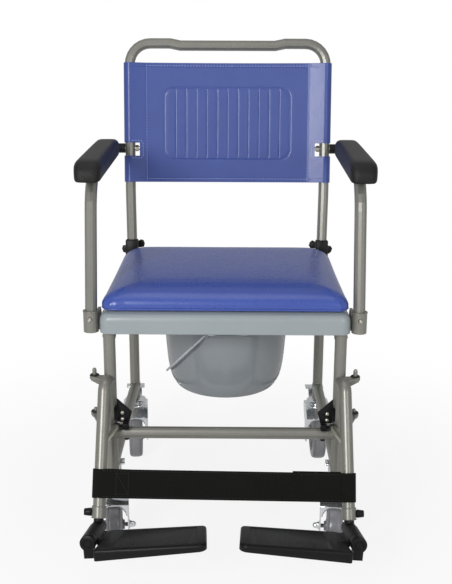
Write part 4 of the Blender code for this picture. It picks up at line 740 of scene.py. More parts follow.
def panel_depth(x):
    """The cloth's middle plane behind the tubes' plane: flat sleeves, and a shallow sag between seams."""
    front = -TUBE_R - CLOTH_GAP - CLOTH / 2
    if abs(x) > SEAM_X:
        return front + SLEEVE_DROP * (BACK_HALF - abs(x)) / (BACK_HALF - SEAM_X)
    return front + SLEEVE_DROP + (SAG - SLEEVE_DROP) * (1 - (x / SEAM_X) ** 2)


def refined(values, lines):
    """The values with close ones on both sides of each line, where the cloth is embossed."""
    for line in lines:
        values = [value for value in values if abs(value - line) > 0.0026]
        values += [line + step for step in (-0.0022, -0.0012, -0.0006, 0.0, 0.0006, 0.0012, 0.0022)]
    return sorted(values)


wrap_r = TUBE_R + CLOTH_GAP + CLOTH / 2
right_wrap = arc((BACK_HALF, 0), wrap_r, -80, SLEEVE_WRAP, 14)
leaf_end = (SEAM_X - 0.006, panel_depth(SEAM_X - 0.006) + CLOTH * 1.15)
right_leaf = right_wrap + spaced(right_wrap[-1], leaf_end, 14)[1:]
across = [BACK_HALF * (i / 120 * 2 - 1) for i in range(121)]
across = refined(across, WELDS + [-EMBOSS_HALF, EMBOSS_HALF])
sling_path = [(-x, y) for x, y in reversed(right_leaf)]
front_start = len(sling_path)
sling_path += [(x, panel_depth(x)) for x in across] + right_leaf

# %% [markdown]
# The panel is embossed by a hot tool: a rounded rectangle, crossed by eleven upright welds that leave
# soft ribs between them. Grooves and ribs are shallow, so they are moved straight in the sheet's
# points: each weld is a narrow dip, and the field between welds stands a little proud.

# %% Embossing
EMBOSS_LOW = 0.248
EMBOSS_HIGH = 0.403
EMBOSS_CORNER = 0.022
GROOVE_DEPTH = 0.0007
GROOVE_WIDTH = 0.0011
WELD_DEPTH = 0.0008
WELD_WIDTH = 0.0009
FIELD_PROUD = 0.0003


def emboss(x, up):
    """How far the cloth stands towards the sitter, in metres."""
    middle = (EMBOSS_LOW + EMBOSS_HIGH) / 2
    dx = abs(x) - (EMBOSS_HALF - EMBOSS_CORNER)
    dz = abs(up - middle) - ((EMBOSS_HIGH - EMBOSS_LOW) / 2 - EMBOSS_CORNER)
    edge = math.hypot(max(dx, 0), max(dz, 0)) + min(max(dx, dz), 0) - EMBOSS_CORNER
    height = -GROOVE_DEPTH * math.exp(-(edge / GROOVE_WIDTH) ** 2)
    if edge < 0:
        nearest = min(abs(x - weld) for weld in WELDS)
        inside = 1 - math.exp(edge / 0.004)
        height += inside * (FIELD_PROUD - WELD_DEPTH * math.exp(-(nearest / WELD_WIDTH) ** 2))
    return height


groove = emboss(EMBOSS_HALF, (EMBOSS_LOW + EMBOSS_HIGH) / 2)
print("groove depth in mm:", round(groove * 1000, 2))

# %% [markdown]
# Columns follow the path and rows follow the height. Faces are left out at the two windows, where the
# arm's hinge passes, and Solidify gives the cloth its thickness from the middle outwards.

# %% Make the sling
SLING_LOW = up_the_back(0.634)
SLING_HIGH = up_the_back(0.889)
WINDOW_LOW = up_the_back(0.690)
WINDOW_HIGH = up_the_back(0.719)
WINDOW_X = 0.189

rows = [SLING_LOW + (SLING_HIGH - SLING_LOW) * i / 90 for i in range(91)]
rows = refined(rows, (EMBOSS_LOW, EMBOSS_HIGH))
in_window = [abs(x) > WINDOW_X for x, depth in sling_path]
bm = bmesh.new()
grid = []
for up in rows:
    line = []
    for i, (x, depth) in enumerate(sling_path):
        on_front = front_start <= i < front_start + len(across)
        rise = emboss(x, up) if on_front else 0.0
        line.append(bm.verts.new(back_place(x, up, depth - rise)))
    grid.append(line)
for r in range(len(rows) - 1):
    middle = (rows[r] + rows[r + 1]) / 2
    for c in range(len(sling_path) - 1):
        if WINDOW_LOW < middle < WINDOW_HIGH and in_window[c] and in_window[c + 1]:
            continue
        bm.faces.new([grid[r][c], grid[r][c + 1], grid[r + 1][c + 1], grid[r + 1][c]])
bmesh.ops.delete(bm, geom=[v for v in bm.verts if not v.link_faces], context="VERTS")
sling = new_piece("sling", bm)
sling = keep(walled(sling, CLOTH), sling_vinyl, "back_rest", ("back_sling",), sharp=60)

# %% [markdown]
# A stitch is a short thread bar that sinks into the cloth at both ends. Hundreds of them follow lines
# on the sling, so Geometry Nodes places them: the line becomes a curve, is resampled at the stitches'
# pitch, and each point gets a small stretched ball turned along the curve. Pitch, length and thread
# radius are inputs, so the same tree sews the strap.

# %% Stitch tree
SOCKET_KINDS = {float: "NodeSocketFloat", int: "NodeSocketInt", tuple: "NodeSocketVector"}


def new_tree(name, inputs):
    """A geometry tree with a geometry input, the named ones and a material. Returns it and them."""
    tree = bpy.data.node_groups.new(name, "GeometryNodeTree")
    tree.interface.new_socket("Geometry", in_out="INPUT", socket_type="NodeSocketGeometry")
    for label, value in inputs.items():
        kind = SOCKET_KINDS[type(value)]
        tree.interface.new_socket(label, in_out="INPUT", socket_type=kind).default_value = value
    tree.interface.new_socket("Material", in_out="INPUT", socket_type="NodeSocketMaterial")
    tree.interface.new_socket("Geometry", in_out="OUTPUT", socket_type="NodeSocketGeometry")
    return tree, add_node(tree, "NodeGroupInput").outputs


def end_tree(tree, given, geometry):
    solid = add_node(tree, "GeometryNodeRealizeInstances", {0: geometry}).outputs[0]
    painted = add_node(tree, "GeometryNodeSetMaterial", {"Geometry": solid, "Material": given["Material"]})
    add_node(tree, "NodeGroupOutput", {0: painted.outputs[0]})


def run_tree(piece, tree, values, finish, body):
    """Put the tree on the piece, set its inputs by their identifiers, and bake the result."""
    made = piece.modifiers.new(tree.name, "NODES")
    made.node_group = tree
    values = {"Material": finish, **values}
    for item in tree.interface.items_tree:
        if item.in_out == "INPUT" and item.name in values:
            made[item.identifier] = values[item.name]
    return keep(bake(piece), finish, body)


stitch_tree, given = new_tree("stitches", {
    "Pitch": 0.004, "Stitch length": 0.0028, "Thread radius": 0.0004,
})
line = add_node(stitch_tree, "GeometryNodeMeshToCurve", {0: given["Geometry"]})
even = add_node(
    stitch_tree, "GeometryNodeResampleCurve", {"Curve": line.outputs[0], "Length": given["Pitch"]},
    mode="LENGTH",
)
tangent = add_node(stitch_tree, "GeometryNodeInputTangent").outputs[0]
turn = add_node(stitch_tree, "FunctionNodeAlignRotationToVector", {"Vector": tangent}, axis="Z")
ball = add_node(stitch_tree, "GeometryNodeMeshUVSphere", {"Segments": 6, "Rings": 4, "Radius": 1.0})
half_length = compute(stitch_tree, "MULTIPLY", given["Stitch length"], 0.5)
size = combine(stitch_tree, given["Thread radius"], given["Thread radius"], half_length)
placed = add_node(stitch_tree, "GeometryNodeInstanceOnPoints", {
    "Points": even.outputs[0], "Instance": ball.outputs[0], "Rotation": turn.outputs[0], "Scale": size,
})
end_tree(stitch_tree, given, placed.outputs[0])
print("stitch tree nodes:", len(stitch_tree.nodes))

# %% [markdown]
# The sling is sewn about 7 mm inside its upper and lower edge, down both sleeve seams, and round each
# window. Each line is a row of points just in front of the cloth's face. Only edges are needed, so all
# the lines are one mesh without faces.

# %% Sew the sling
def edge_piece(name, lines):
    """A mesh without faces, whose edges follow the lines of points."""
    bm = bmesh.new()
    for points in lines:
        verts = [bm.verts.new(point) for point in points]
        for a, b in zip(verts, verts[1:]):
            bm.edges.new([a, b])
    return new_piece(name, bm)


def sew(name, lines, finish, body, pitch=0.0064, length=0.0034, radius=0.0008):
    values = {"Pitch": pitch, "Stitch length": length, "Thread radius": radius}
    return run_tree(edge_piece(name, lines), stitch_tree, values, finish, body)


def on_panel(x, up, proud=0.0002):
    return back_place(x, up, panel_depth(x) - CLOTH / 2 - proud)


hem_xs = [0.176 * (i / 60 * 2 - 1) for i in range(61)]
seam_ups = [SLING_LOW + 0.004 + (SLING_HIGH - SLING_LOW - 0.008) * i / 60 for i in range(61)]
window_hem = [(0.207, WINDOW_HIGH + 0.0045), (0.190, WINDOW_HIGH + 0.0045), (0.1855, WINDOW_HIGH + 0.001)]
window_hem += [(0.1845, WINDOW_HIGH - 0.004), (0.1845, WINDOW_LOW + 0.004), (0.1855, WINDOW_LOW - 0.001)]
window_hem += [(0.190, WINDOW_LOW - 0.0045), (0.207, WINDOW_LOW - 0.0045)]
sling_lines = []
for up in (SLING_HIGH - 0.0065, SLING_LOW + 0.0075):
    sling_lines.append([on_panel(x, up, 0.0008) for x in hem_xs])
for side in (-1, 1):
    sling_lines.append([on_panel(side * 0.1762, up) for up in seam_ups])
    sling_lines.append([on_panel(side * x, up) for x, up in window_hem])
sling_stitches = sew("sling_stitches", sling_lines, blue_thread, "back_rest")
print("stitch triangles:", len(sling_stitches.data.polygons))

# %% [markdown]
# Where the cloth is folded under at the upper and lower edge it is twice as thick. A flat band on the
# face along each hem draws that fold, with a soft edge that the stitches run along.

# %% Hems
HEMS = {"high": (SLING_HIGH - 0.009, SLING_HIGH), "low": (SLING_LOW, SLING_LOW + 0.010)}
HEM_REACH = 0.2075
HEM_PLY = 0.0006
for name, (low, high) in HEMS.items():
    rings = []
    for i in range(49):
        x = HEM_REACH * (i / 48 * 2 - 1)
        near = panel_depth(x) - CLOTH / 2
        section = [(low, 0.0), (low + 0.0004, HEM_PLY), (high - 0.0004, HEM_PLY), (high, 0.0)]
        section += [(high, -0.0003), (low, -0.0003)]
        rings.append([back_place(x, up, near - out) for up, out in section])
    keep(skin(f"sling_hem_{name}", rings), sling_vinyl, "back_rest")
print("hem bands:", len(HEMS))

# %% [markdown]
# The seat is a shallow blow-moulded shell: a rounded outer edge, a flat top with an oval aperture, a
# lip round it and an open underside. Its section runs round the whole part, from the skirt's foot over
# the top, down into the aperture and back underneath, so it is one closed skin between outlines.

# %% Seat moulding
SEAT_BASE_Z = 0.430
SEAT_TOP_Z = SEAT_BASE_Z + 0.040
SEAT_FRONT = FRONT_LEG_Y - 0.025
SEAT_REAR = SEAT_FRONT + 0.420
SEAT_HALF = 0.2262
SEAT_CORNER_R = 0.017
APERTURE = (0.100, 0.120)
APERTURE_Y = FRONT_LEG_Y + 0.190


def seat_ring(inset, z):
    radius = max(SEAT_CORNER_R - inset * 0.5, 0.004)
    front, rear = SEAT_FRONT + inset, SEAT_REAR - inset
    outline = rounded_outline(SEAT_HALF - inset, front, rear, radius, radius, steps=12, run=14)
    return [(x, y, z) for x, y in outline]


seat_angles = [math.atan2((y - APERTURE_Y) / 1.05, x) for x, y, z in seat_ring(0.02, 0)]


def aperture_ring(grow, z):
    across_r, along_r = APERTURE[0] + grow, APERTURE[1] + grow
    return [(across_r * math.cos(a), APERTURE_Y + along_r * math.sin(a), z) for a in seat_angles]


OVER_THE_EDGE = [
    (0.0008, 0.0400), (0.0, 0.0392), (0.0, 0.0180), (0.0005, 0.0135), (0.0022, 0.0090), (0.0052, 0.0052),
    (0.0095, 0.0024), (0.0150, 0.0007), (0.0210, 0.0),
]
INTO_THE_APERTURE = [
    (0.0080, 0.0), (0.0035, 0.0008), (0.0008, 0.0030), (0.0, 0.0060), (0.0, 0.0290), (0.0030, 0.0290),
    (0.0030, 0.0042),
]
UNDERNEATH = [(0.0180, 0.0044), (0.0100, 0.0066), (0.0055, 0.0120), (0.0040, 0.0180), (0.0040, 0.0392)]
seat_rings = [seat_ring(inset, SEAT_TOP_Z - drop) for inset, drop in OVER_THE_EDGE]
seat_rings += [aperture_ring(grow, SEAT_TOP_Z - drop) for grow, drop in INTO_THE_APERTURE]
seat_rings += [seat_ring(inset, SEAT_TOP_Z - drop) for inset, drop in UNDERNEATH]
seat = skin("seat_shell", seat_rings, round_trip=True)


def block(name, low, high, rounding=0.0):
    bm = bmesh.new()
    bmesh.ops.create_cube(bm, size=1)
    for vert in bm.verts:
        vert.co = [a + (b - a) * (value + 0.5) for a, b, value in zip(low, high, vert.co)]
    if rounding:
        bmesh.ops.bevel(bm, geom=bm.edges[:], offset=rounding, segments=2, affect="EDGES", profile=0.5)
    return new_piece(name, bm)


SLOT_Y = FRONT_LEG_Y + 0.024
RUNNER_FRONT = 0.0114
RUNNER_REAR = 0.2664
RUNNER_LOW_Z = 0.3936
RUNNERS = {"web": (0.1345, 0.1385, 0.4670), "ledge": (0.1265, 0.1380, 0.3976)}
slots = []
for side in (-1, 1):
    low_x, high_x = sorted((side * (SEAT_HALF - 0.012), side * (SEAT_HALF + 0.010)))
    slots.append(block("slot", (low_x, SLOT_Y - 0.0065, 0.420), (high_x, SLOT_Y + 0.0065, 0.4515)))
keep(cut_by(seat, slots), seat_plastic, "chair_frame", ("seat_moulding",), sharp=35)
for i, side in enumerate((-1, 1)):
    for name, (inner, outer, high_z) in RUNNERS.items():
        low_x, high_x = sorted((side * inner, side * outer))
        low, high = (low_x, RUNNER_FRONT, RUNNER_LOW_Z), (high_x, RUNNER_REAR, high_z)
        keep(block(f"runner_{name}_{i}", low, high, rounding=0.0008), seat_plastic, "chair_frame")
print("seat moulding points:", len(seat_rings) * len(seat_rings[0]))

# %% [markdown]
# Arm pads are moulded in one piece with a rounded nose at the front and a smaller one behind. They are
# lofted from cross-sections whose width and top fall away at both ends, and one subdivision level
# rounds the loft. The pad follows the arm tube, which spreads slightly towards the back.

# %% Arm pads
ARM_Z = 0.705
ARM_ELBOW_X = 0.2412
ARM_REAR_X = 0.2530
PAD_LENGTH = 0.383
PAD_FRONT = -0.020
PAD_WIDTH = 0.049
PAD_UNDER_Z = ARM_Z - 0.0005
PAD_TALL = 0.035
pivot_y = back_place(0, up_the_back(ARM_Z + 0.002)).y
pad_slope = (ARM_REAR_X - ARM_ELBOW_X) / (pivot_y - FRONT_LEG_Y - 0.040)


def pad_section(narrow, drop, lift):
    half = PAD_WIDTH / 2 - narrow
    top = PAD_TALL - drop
    round_r = min(0.012, (top - lift) * 0.6)
    points = arc((half - round_r, top - round_r), round_r, 0, 90, 5)
    points += [(-x, z) for x, z in reversed(points)]
    points += arc((-half + 0.004, 0.004 + lift), 0.004, 180, 270, 2)
    points += arc((half - 0.004, 0.004 + lift), 0.004, 270, 360, 2)
    return points


PAD_STATIONS = [
    (0.0, 0.0130, 0.0240, -0.0005), (0.0012, 0.0088, 0.0195, -0.0022), (0.0040, 0.0048, 0.0135, -0.0030),
    (0.0090, 0.0020, 0.0075, -0.0026), (0.0160, 0.0006, 0.0034, -0.0012), (0.0260, 0.0, 0.0010, 0.0),
    (0.0400, 0.0, 0.0, 0.0), (0.100, 0.0, 0.0, 0.0), (0.200, 0.0, 0.0, 0.0), (0.300, 0.0, 0.0, 0.0),
    (PAD_LENGTH - 0.022, 0.0, 0.0004, 0.0), (PAD_LENGTH - 0.011, 0.0008, 0.0022, 0.0),
    (PAD_LENGTH - 0.004, 0.003, 0.0065, 0.001), (PAD_LENGTH - 0.0008, 0.006, 0.0120, 0.003),
    (PAD_LENGTH, 0.009, 0.0170, 0.005),
]
for side_name, side in SIDES.items():
    front_x = side * (ARM_ELBOW_X - pad_slope * (0.040 - PAD_FRONT))
    along = Vector((side * pad_slope, 1, 0)).normalized()
    pad_place = aimed((front_x, FRONT_LEG_Y + PAD_FRONT, PAD_UNDER_Z), (along.y, -along.x, 0), (0, 0, 1))
    rings = []
    for y, narrow, drop, lift in PAD_STATIONS:
        rings.append([(x, y, z) for x, z in pad_section(narrow, drop, lift)])
    pad = subdivided(skin(f"pad_{side_name}", rings, pad_place))
    keep(pad, skin_foam, f"arm_{side_name}", (f"arm_pad_{side_name}",), sharp=80)
print("arm pads: 2")

# %% [markdown]
# The bucket is a bowl-shaped pail turned from one profile: a flat rim, a nearly straight wall and a
# round lower part that ends in a foot ring. A smooth curve through a few points of the CAD profile
# gives the outside, and the wall's thickness gives the inside.

# %% Bucket
BUCKET_Y = FRONT_LEG_Y + 0.190
BUCKET_RIM_Z = 0.403
BUCKET_HEIGHT = 0.1435
BUCKET_TOP_R = 0.124
BUCKET_BASE_R = 0.090
FLANGE_R = 0.133
BUCKET_WALL = 0.0025
BUCKET_FLOOR = 0.0045
WALL_CURVE = [(0.09, 0.35), (0.20, 0.63), (0.36, 0.82), (0.60, 0.935), (0.78, 0.979), (0.93, 0.995)]
FOOT_RING = [
    (0.0875, 0.0), (0.082, 0.0006), (0.080, 0.0018), (0.046, 0.0018), (0.045, 0.0012), (0.043, 0.0012),
    (0.042, 0.0018), (0.0, 0.0018),
]


def smooth_line(points, count):
    """Points on a smooth curve through the given ones."""
    padded = [points[0]] + points + [points[-1]]
    result = []
    for p0, p1, p2, p3 in zip(padded, padded[1:], padded[2:], padded[3:]):
        for i in range(count):
            t = i / count
            pair = []
            for a, b, c, d in zip(p0, p1, p2, p3):
                value = 2 * b + (c - a) * t + (2 * a - 5 * b + 4 * c - d) * t * t
                pair.append((value + (3 * b - 3 * c + d - a) * t ** 3) / 2)
            result.append(tuple(pair))
    result.append(points[-1])
    return result


spread = BUCKET_TOP_R - BUCKET_BASE_R
wall_points = [(BUCKET_TOP_R, BUCKET_RIM_Z - 0.006)]
for drawn_in, down in WALL_CURVE:
    wall_points.append((BUCKET_TOP_R - drawn_in * spread, BUCKET_RIM_Z - down * BUCKET_HEIGHT))
base_z = BUCKET_RIM_Z - BUCKET_HEIGHT
wall_line = smooth_line(wall_points, 5)
outside = wall_line + [(radius, base_z + up) for radius, up in FOOT_RING]
inside = [(radius - BUCKET_WALL, max(z, base_z + BUCKET_FLOOR)) for radius, z in wall_line]
inside.append((0.0, base_z + BUCKET_FLOOR))
rim = [
    (BUCKET_TOP_R - BUCKET_WALL, BUCKET_RIM_Z - 0.001), (BUCKET_TOP_R - 0.001, BUCKET_RIM_Z),
    (FLANGE_R - 0.001, BUCKET_RIM_Z), (FLANGE_R, BUCKET_RIM_Z - 0.001),
    (FLANGE_R, BUCKET_RIM_Z - 0.0042), (FLANGE_R - 0.001, BUCKET_RIM_Z - 0.005),
    (BUCKET_TOP_R + 0.0012, BUCKET_RIM_Z - 0.005),
]
bucket_place = Matrix.Translation((0, BUCKET_Y, 0))
bucket = turned("pail", list(reversed(inside)) + rim + outside, bucket_place, 96)
keep(bucket, bucket_plastic, "bucket_body", ("bucket",), sharp=50)
print("bucket across its rim in mm:", round(2 * FLANGE_R * 1000))

# %% [markdown]
# The bail is a 4.4 mm coated wire whose ends turn inwards into two lugs on the rim. It hangs down on
# the left, as in the photograph. Wire and lugs are separate pieces, because the wire swings.

# %% Bail and lugs
BAIL_R = 0.0022
BAIL_REACH = 0.167
BAIL_DROOP = math.radians(45.5)
BAIL_TURN = math.radians(-16.6)
pin_z = BUCKET_RIM_Z - 0.0025
bail_place = bucket_place @ Matrix.Rotation(BAIL_TURN, 4, "Z")
out = Vector((-math.cos(BAIL_DROOP), 0, -math.sin(BAIL_DROOP)))
half_span = FLANGE_R + 0.007
bail_points = [Vector((0, -FLANGE_R + 0.0035, pin_z)), Vector((0, -half_span + 0.003, pin_z))]
for i in range(1, 48):
    angle = math.pi * i / 48
    on_pins = Vector((0, -half_span * math.cos(angle), pin_z))
    bail_points.append(on_pins + out * BAIL_REACH * math.sin(angle))
bail_points += [Vector((0, half_span - 0.003, pin_z)), Vector((0, FLANGE_R - 0.0035, pin_z))]
bail = rod("bail_wire", [bail_place @ point for point in bail_points], BAIL_R)
keep(bail, bail_plastic, "bail", ("bucket_bail",))
for i, side in enumerate((-1, 1)):
    lug_place = bail_place @ aimed((0, side * (FLANGE_R - 0.006), pin_z), (1, 0, 0), (0, side, 0))
    rings = []
    for depth, grow in ((0.0, 0.0), (0.0072, 0.0), (0.0080, -0.0008)):
        round_r = 0.0045 + grow
        outline = arc((0.0035, 0), round_r, -90, 90, 8) + arc((-0.0035, 0), round_r, 90, 270, 8)
        rings.append([(x, y, depth) for x, y in outline])
    keep(skin(f"bail_lug_{i}", rings, lug_place), bucket_plastic, "bucket_body")
print("bail points:", len(bail_points))

# %% [markdown]
# Each castor wheel is a grey tyre moulded on a plastic hub. The tread is flat with two fine grooves
# near its shoulders, and the hub shows a bearing ring. All are profiles turned about the axle; only
# the castor's own turn about its stem differs from corner to corner.

# %% Castor wheels
WHEEL_R = 0.050
TRAIL = 0.026
AXLE_Z = WHEEL_R * math.cos(math.pi / 24)
CASTOR_TURNS = {"front_left": 6, "front_right": -6, "rear_left": 5, "rear_right": 2}
tyre_half = [(0.0335, 0.0148), (0.0390, 0.0150), (0.0435, 0.0148), (0.0462, 0.0140), (0.0480, 0.0124)]
tyre_half += [(0.0488, 0.0108), (0.0480, 0.0100), (0.0490, 0.0092), (0.0497, 0.0070), (0.04985, 0.0035)]
hub_half = [(0.0046, 0.0195), (0.0085, 0.0195), (0.0090, 0.0188), (0.0092, 0.0165), (0.0125, 0.0160)]
hub_half += [(0.0135, 0.0100), (0.0270, 0.0095), (0.0290, 0.0128), (0.0330, 0.0132), (0.0334, 0.0125)]


def both_halves(half):
    """A profile whose second half mirrors its first."""
    return half + [(radius, -height) for radius, height in reversed(half)]


def castor_place(corner):
    x = HALF_TRACK * (-1 if corner.endswith("left") else 1)
    y = FRONT_LEG_Y if corner.startswith("front") else REAR_LEG_Y
    return Matrix.Translation((x, y, 0)) @ Matrix.Rotation(math.radians(CASTOR_TURNS[corner]), 4, "Z")


def on_axle(corner, side, out):
    """A place on the wheel's axle, so far out from its middle, whose Z points outwards."""
    return castor_place(corner) @ aimed((side * out, -TRAIL, AXLE_Z), (0, 1, 0), (side, 0, 0))


tyre_profile = both_halves(tyre_half) + [(0.0300, -0.010), (0.0300, 0.010)]
hub_profile = both_halves(hub_half)
for corner in CASTOR_TURNS:
    wheel = f"wheel_{corner}"
    tyre = turned(f"tyre_{corner}", tyre_profile, on_axle(corner, 1, 0), 72, True)
    keep(tyre, tyre_rubber, wheel, (f"castor_wheel_{corner}",), sharp=30)
    hub = turned(f"hub_{corner}", hub_profile, on_axle(corner, 1, 0), 48, True)
    keep(hub, tyre_rubber, wheel, sharp=30)
print("castor wheels: 4, diameter in mm:", round(2 * WHEEL_R * 1000))

# %% [markdown]
# The bright rings above each fork are the races of the swivel bearing: two pressed steel cups with a
# groove between them. They are turned about the stem. An acorn nut with a washer under it closes each
# end of the axle.

# %% Bearing races and axle nuts
RACE = [
    (0.0125, 0.1335), (0.0200, 0.1330), (0.0235, 0.1312), (0.0248, 0.1290), (0.0238, 0.1272),
    (0.0215, 0.1266), (0.0215, 0.1256), (0.0246, 0.1250), (0.0268, 0.1232), (0.0282, 0.1205),
    (0.0282, 0.1186), (0.0125, 0.1186),
]
ACORN_NUT = [
    (0.0, 0.0084), (0.0022, 0.0081), (0.0042, 0.0068), (0.0050, 0.0050), (0.0054, 0.0040),
    (0.0054, 0.0), (0.0, 0.0),
]
AXLE_WASHER = [(0.0088, 0.0), (0.0088, 0.0009), (0.0080, 0.0012), (0.0040, 0.0012), (0.0040, 0.0)]
NUT_OUT = 0.0325
WASHER_OUT = 0.0279
for corner in CASTOR_TURNS:
    body = f"castor_{corner}"
    keep(turned(f"race_{corner}", RACE, castor_place(corner), 48, True), chrome, body, sharp=35)
    for i, side in enumerate((-1, 1)):
        nut_place, washer_place = on_axle(corner, side, NUT_OUT), on_axle(corner, side, WASHER_OUT)
        keep(turned(f"axle_cap_{corner}_{i}", ACORN_NUT, nut_place, 24), chrome, body)
        keep(turned(f"axle_washer_{corner}_{i}", AXLE_WASHER, washer_place, 24, True), zinc, body)
print("bearing races:", len(CASTOR_TURNS))

# %% [markdown]
# Weld beads join the tubes. Where one tube butts against another of the same size, the seam follows a
# saddle curve: at angle t round the tube it stands off by the radius times the sine of t. Geometry
# Nodes sweep a small circle along that curve and roughen its radius with noise, as the ripples of a
# hand-run bead do.

# %% Weld tree
weld_tree, given = new_tree("weld_bead", {"Bead radius": 0.0014, "Ripple": 0.35, "Ripple size": 420.0})
line = add_node(weld_tree, "GeometryNodeMeshToCurve", {0: given["Geometry"]})
fine = add_node(
    weld_tree, "GeometryNodeResampleCurve", {"Curve": line.outputs[0], "Length": 0.0012}, mode="LENGTH"
)
ripple = add_node(weld_tree, "ShaderNodeTexNoise", {"Scale": given["Ripple size"]})
swing = compute(weld_tree, "SUBTRACT", ripple.outputs["Fac"], 0.5)
deep = compute(weld_tree, "MULTIPLY_ADD", swing, given["Ripple"], 1.0)
thick = compute(weld_tree, "MULTIPLY", deep, given["Bead radius"])
ring = add_node(weld_tree, "GeometryNodeCurvePrimitiveCircle", {"Resolution": 8, "Radius": 1.0})
bead = add_node(weld_tree, "GeometryNodeCurveToMesh", {
    "Curve": fine.outputs[0], "Profile Curve": ring.outputs[0], "Scale": thick, "Fill Caps": True,
})
end_tree(weld_tree, given, bead.outputs[0])
print("weld tree nodes:", len(weld_tree.nodes))

# %% [markdown]
# Six seams on each side hold the frame together: the cross tube and both rails on the front leg, and
# the rails and the rear tube on the rear leg. All twelve are one piece.

# %% Weld beads on the frame
CROSS_TUBE_Z = 0.229
LOWER_RAIL_Z = 0.163
SEAT_RAIL_Z = 0.4183


def saddle(origin, butting, main):
    """The seam where a tube along one direction butts against a tube along another one."""
    place = aimed(origin, butting, main)
    points = []
    for i in range(33):
        angle = 2 * math.pi * i / 32
        rise, aside = TUBE_R * math.sin(angle), TUBE_R * math.cos(angle)
        points.append(place @ Vector((abs(rise), aside, rise)))
    return points


seams = []
for side in (-1, 1):
    for y, z, butting, main in (
        (FRONT_LEG_Y, CROSS_TUBE_Z, (-side, 0, 0), (0, 0, 1)),
        (FRONT_LEG_Y, LOWER_RAIL_Z, (0, 1, 0), (0, 0, 1)),
        (REAR_LEG_Y, LOWER_RAIL_Z, (0, 0, 1), (0, 1, 0)),
        (FRONT_LEG_Y, SEAT_RAIL_Z, (0, 1, 0), (0, 0, 1)),
        (REAR_LEG_Y, SEAT_RAIL_Z, (0, -1, 0), (0, 0, 1)),
        (REAR_LEG_Y, SEAT_RAIL_Z, (-side, 0, 0), (0, 0, 1)),
    ):
        seams.append(saddle((side * HALF_TRACK, y, z), butting, main))
run_tree(edge_piece("weld_beads", seams), weld_tree, {"Bead radius": 0.0013}, powder_coat, "chair_frame")
print("weld seams:", len(seams))

# %% [markdown]
# A footplate is moulded nylon: a shallow tray turned upside down, with a raised border round a ribbed
# insert, and a hinge sleeve that flows into it. Its directions are tilted (toe up, rolled inwards and
# turned out a little), so its own forward, inward and up directions are worked out first.

# %% Footplate directions
FOOT_TILT = math.radians(10)
TOE_OUT = math.radians(5)
FOOT_ROLL = math.radians(5.8)
HANGER_X = 0.2197
HANGER_SPLAY = math.radians(1)
HANGER_LEAN = math.radians(24)
HANGER_BEND_Z = 0.311
HANGER_LOW_Z = 0.1175


def hanger_axis(side, z):
    drop = HANGER_BEND_Z - z
    x = HANGER_X + drop * math.tan(HANGER_SPLAY)
    return Vector((side * x, FRONT_LEG_Y - 0.037 - drop * math.tan(HANGER_LEAN), z))


def hanger_down(side):
    return (hanger_axis(side, 0) - hanger_axis(side, 1)).normalized()


def knuckle(side):
    return hanger_axis(side, HANGER_LOW_Z) + hanger_down(side) * 0.016


def foot_axes(side):
    level = math.cos(FOOT_TILT)
    forward = Vector((side * math.sin(TOE_OUT) * level, -math.cos(TOE_OUT) * level, math.sin(FOOT_TILT)))
    inward = Vector((-side * math.cos(TOE_OUT), -math.sin(TOE_OUT), 0))
    up = inward.cross(forward) * side
    up = up if up.z > 0 else -up
    turn = Matrix.Rotation(side * FOOT_ROLL, 3, forward)
    if (turn @ inward).z < inward.z:
        turn = Matrix.Rotation(-side * FOOT_ROLL, 3, forward)
    return forward, turn @ inward, turn @ up


def foot_matrix(side):
    matrix = Matrix(foot_axes(side)).transposed().to_4x4()
    matrix.translation = knuckle(side)
    return matrix


print("left footplate's up:", [round(value, 3) for value in foot_axes(-1)[2]])

# %% [markdown]
# The tray is a stack of closed outlines: up the inside of the pocket, round the lower edge, up the
# wall, over the rounded rim, across the border and down into the recess for the insert. Each outline
# has the same number of points, so one skin joins them all.

# %% Footplate tray
PLATE_DROP = 0.003
PLATE_THICK = 0.019
PLATE_NEAR = 0.021
PLATE_TAPER = math.radians(2.3)
PLATE_FAR = 0.1945
PLATE_CORNERS = [(0.007, 0.021), (0.005, PLATE_FAR), (0.104, 0.2065), (0.1075, 0.0145)]
PLATE_RADII = [0.004, 0.009, 0.013, 0.004]


def plate_outline(inset_rear, inset_far, inset_front, inset_near, extra):
    """The plate's outline in (ahead, across), moved in by a different amount on each side."""
    (ax, ay), (bx, by), (cx, cy), (dx, dy) = PLATE_CORNERS
    corners = [
        Vector((ax + inset_rear, ay + inset_near)), Vector((bx + inset_rear, by - inset_far)),
        Vector((cx - inset_front, cy - inset_far)), Vector((dx - inset_front, dy + inset_near)),
    ]
    points = []
    for i, corner in enumerate(corners):
        radius = max(PLATE_RADII[i] + extra, 0.0015)
        points += corner_arc(corners[i - 1], corner, corners[(i + 1) % 4], radius, 8)
    return points


def plate_under(point, lift=0.0):
    return -PLATE_DROP - PLATE_THICK + lift + math.tan(PLATE_TAPER) * (point.y - PLATE_NEAR)


def plate_ring(inset, height=None, lift=0.0):
    insets = inset if isinstance(inset, tuple) else (inset,) * 4
    points = plate_outline(*insets, extra=-min(insets) * 0.5)
    if height is None:
        return [(p.x, p.y, plate_under(p, lift)) for p in points]
    return [(p.x, p.y, height) for p in points]


INSERT = (0.007, 0.016, 0.010, 0.030)
INSERT_IN = tuple(value + 0.0008 for value in INSERT)
top = -PLATE_DROP
plate_rings = [
    plate_ring(0.0050, top - 0.0045), plate_ring(0.0042, lift=0.0006), plate_ring(0.0030),
    plate_ring(0.0010), plate_ring(0.0002, lift=0.0008), plate_ring(0.0, top - 0.0040),
    plate_ring(0.0004, top - 0.0018), plate_ring(0.0016, top - 0.0004), plate_ring(0.0034, top),
    plate_ring(INSERT, top), plate_ring(INSERT_IN, top - 0.0012),
]
print("plate outline points:", len(plate_rings[0]))

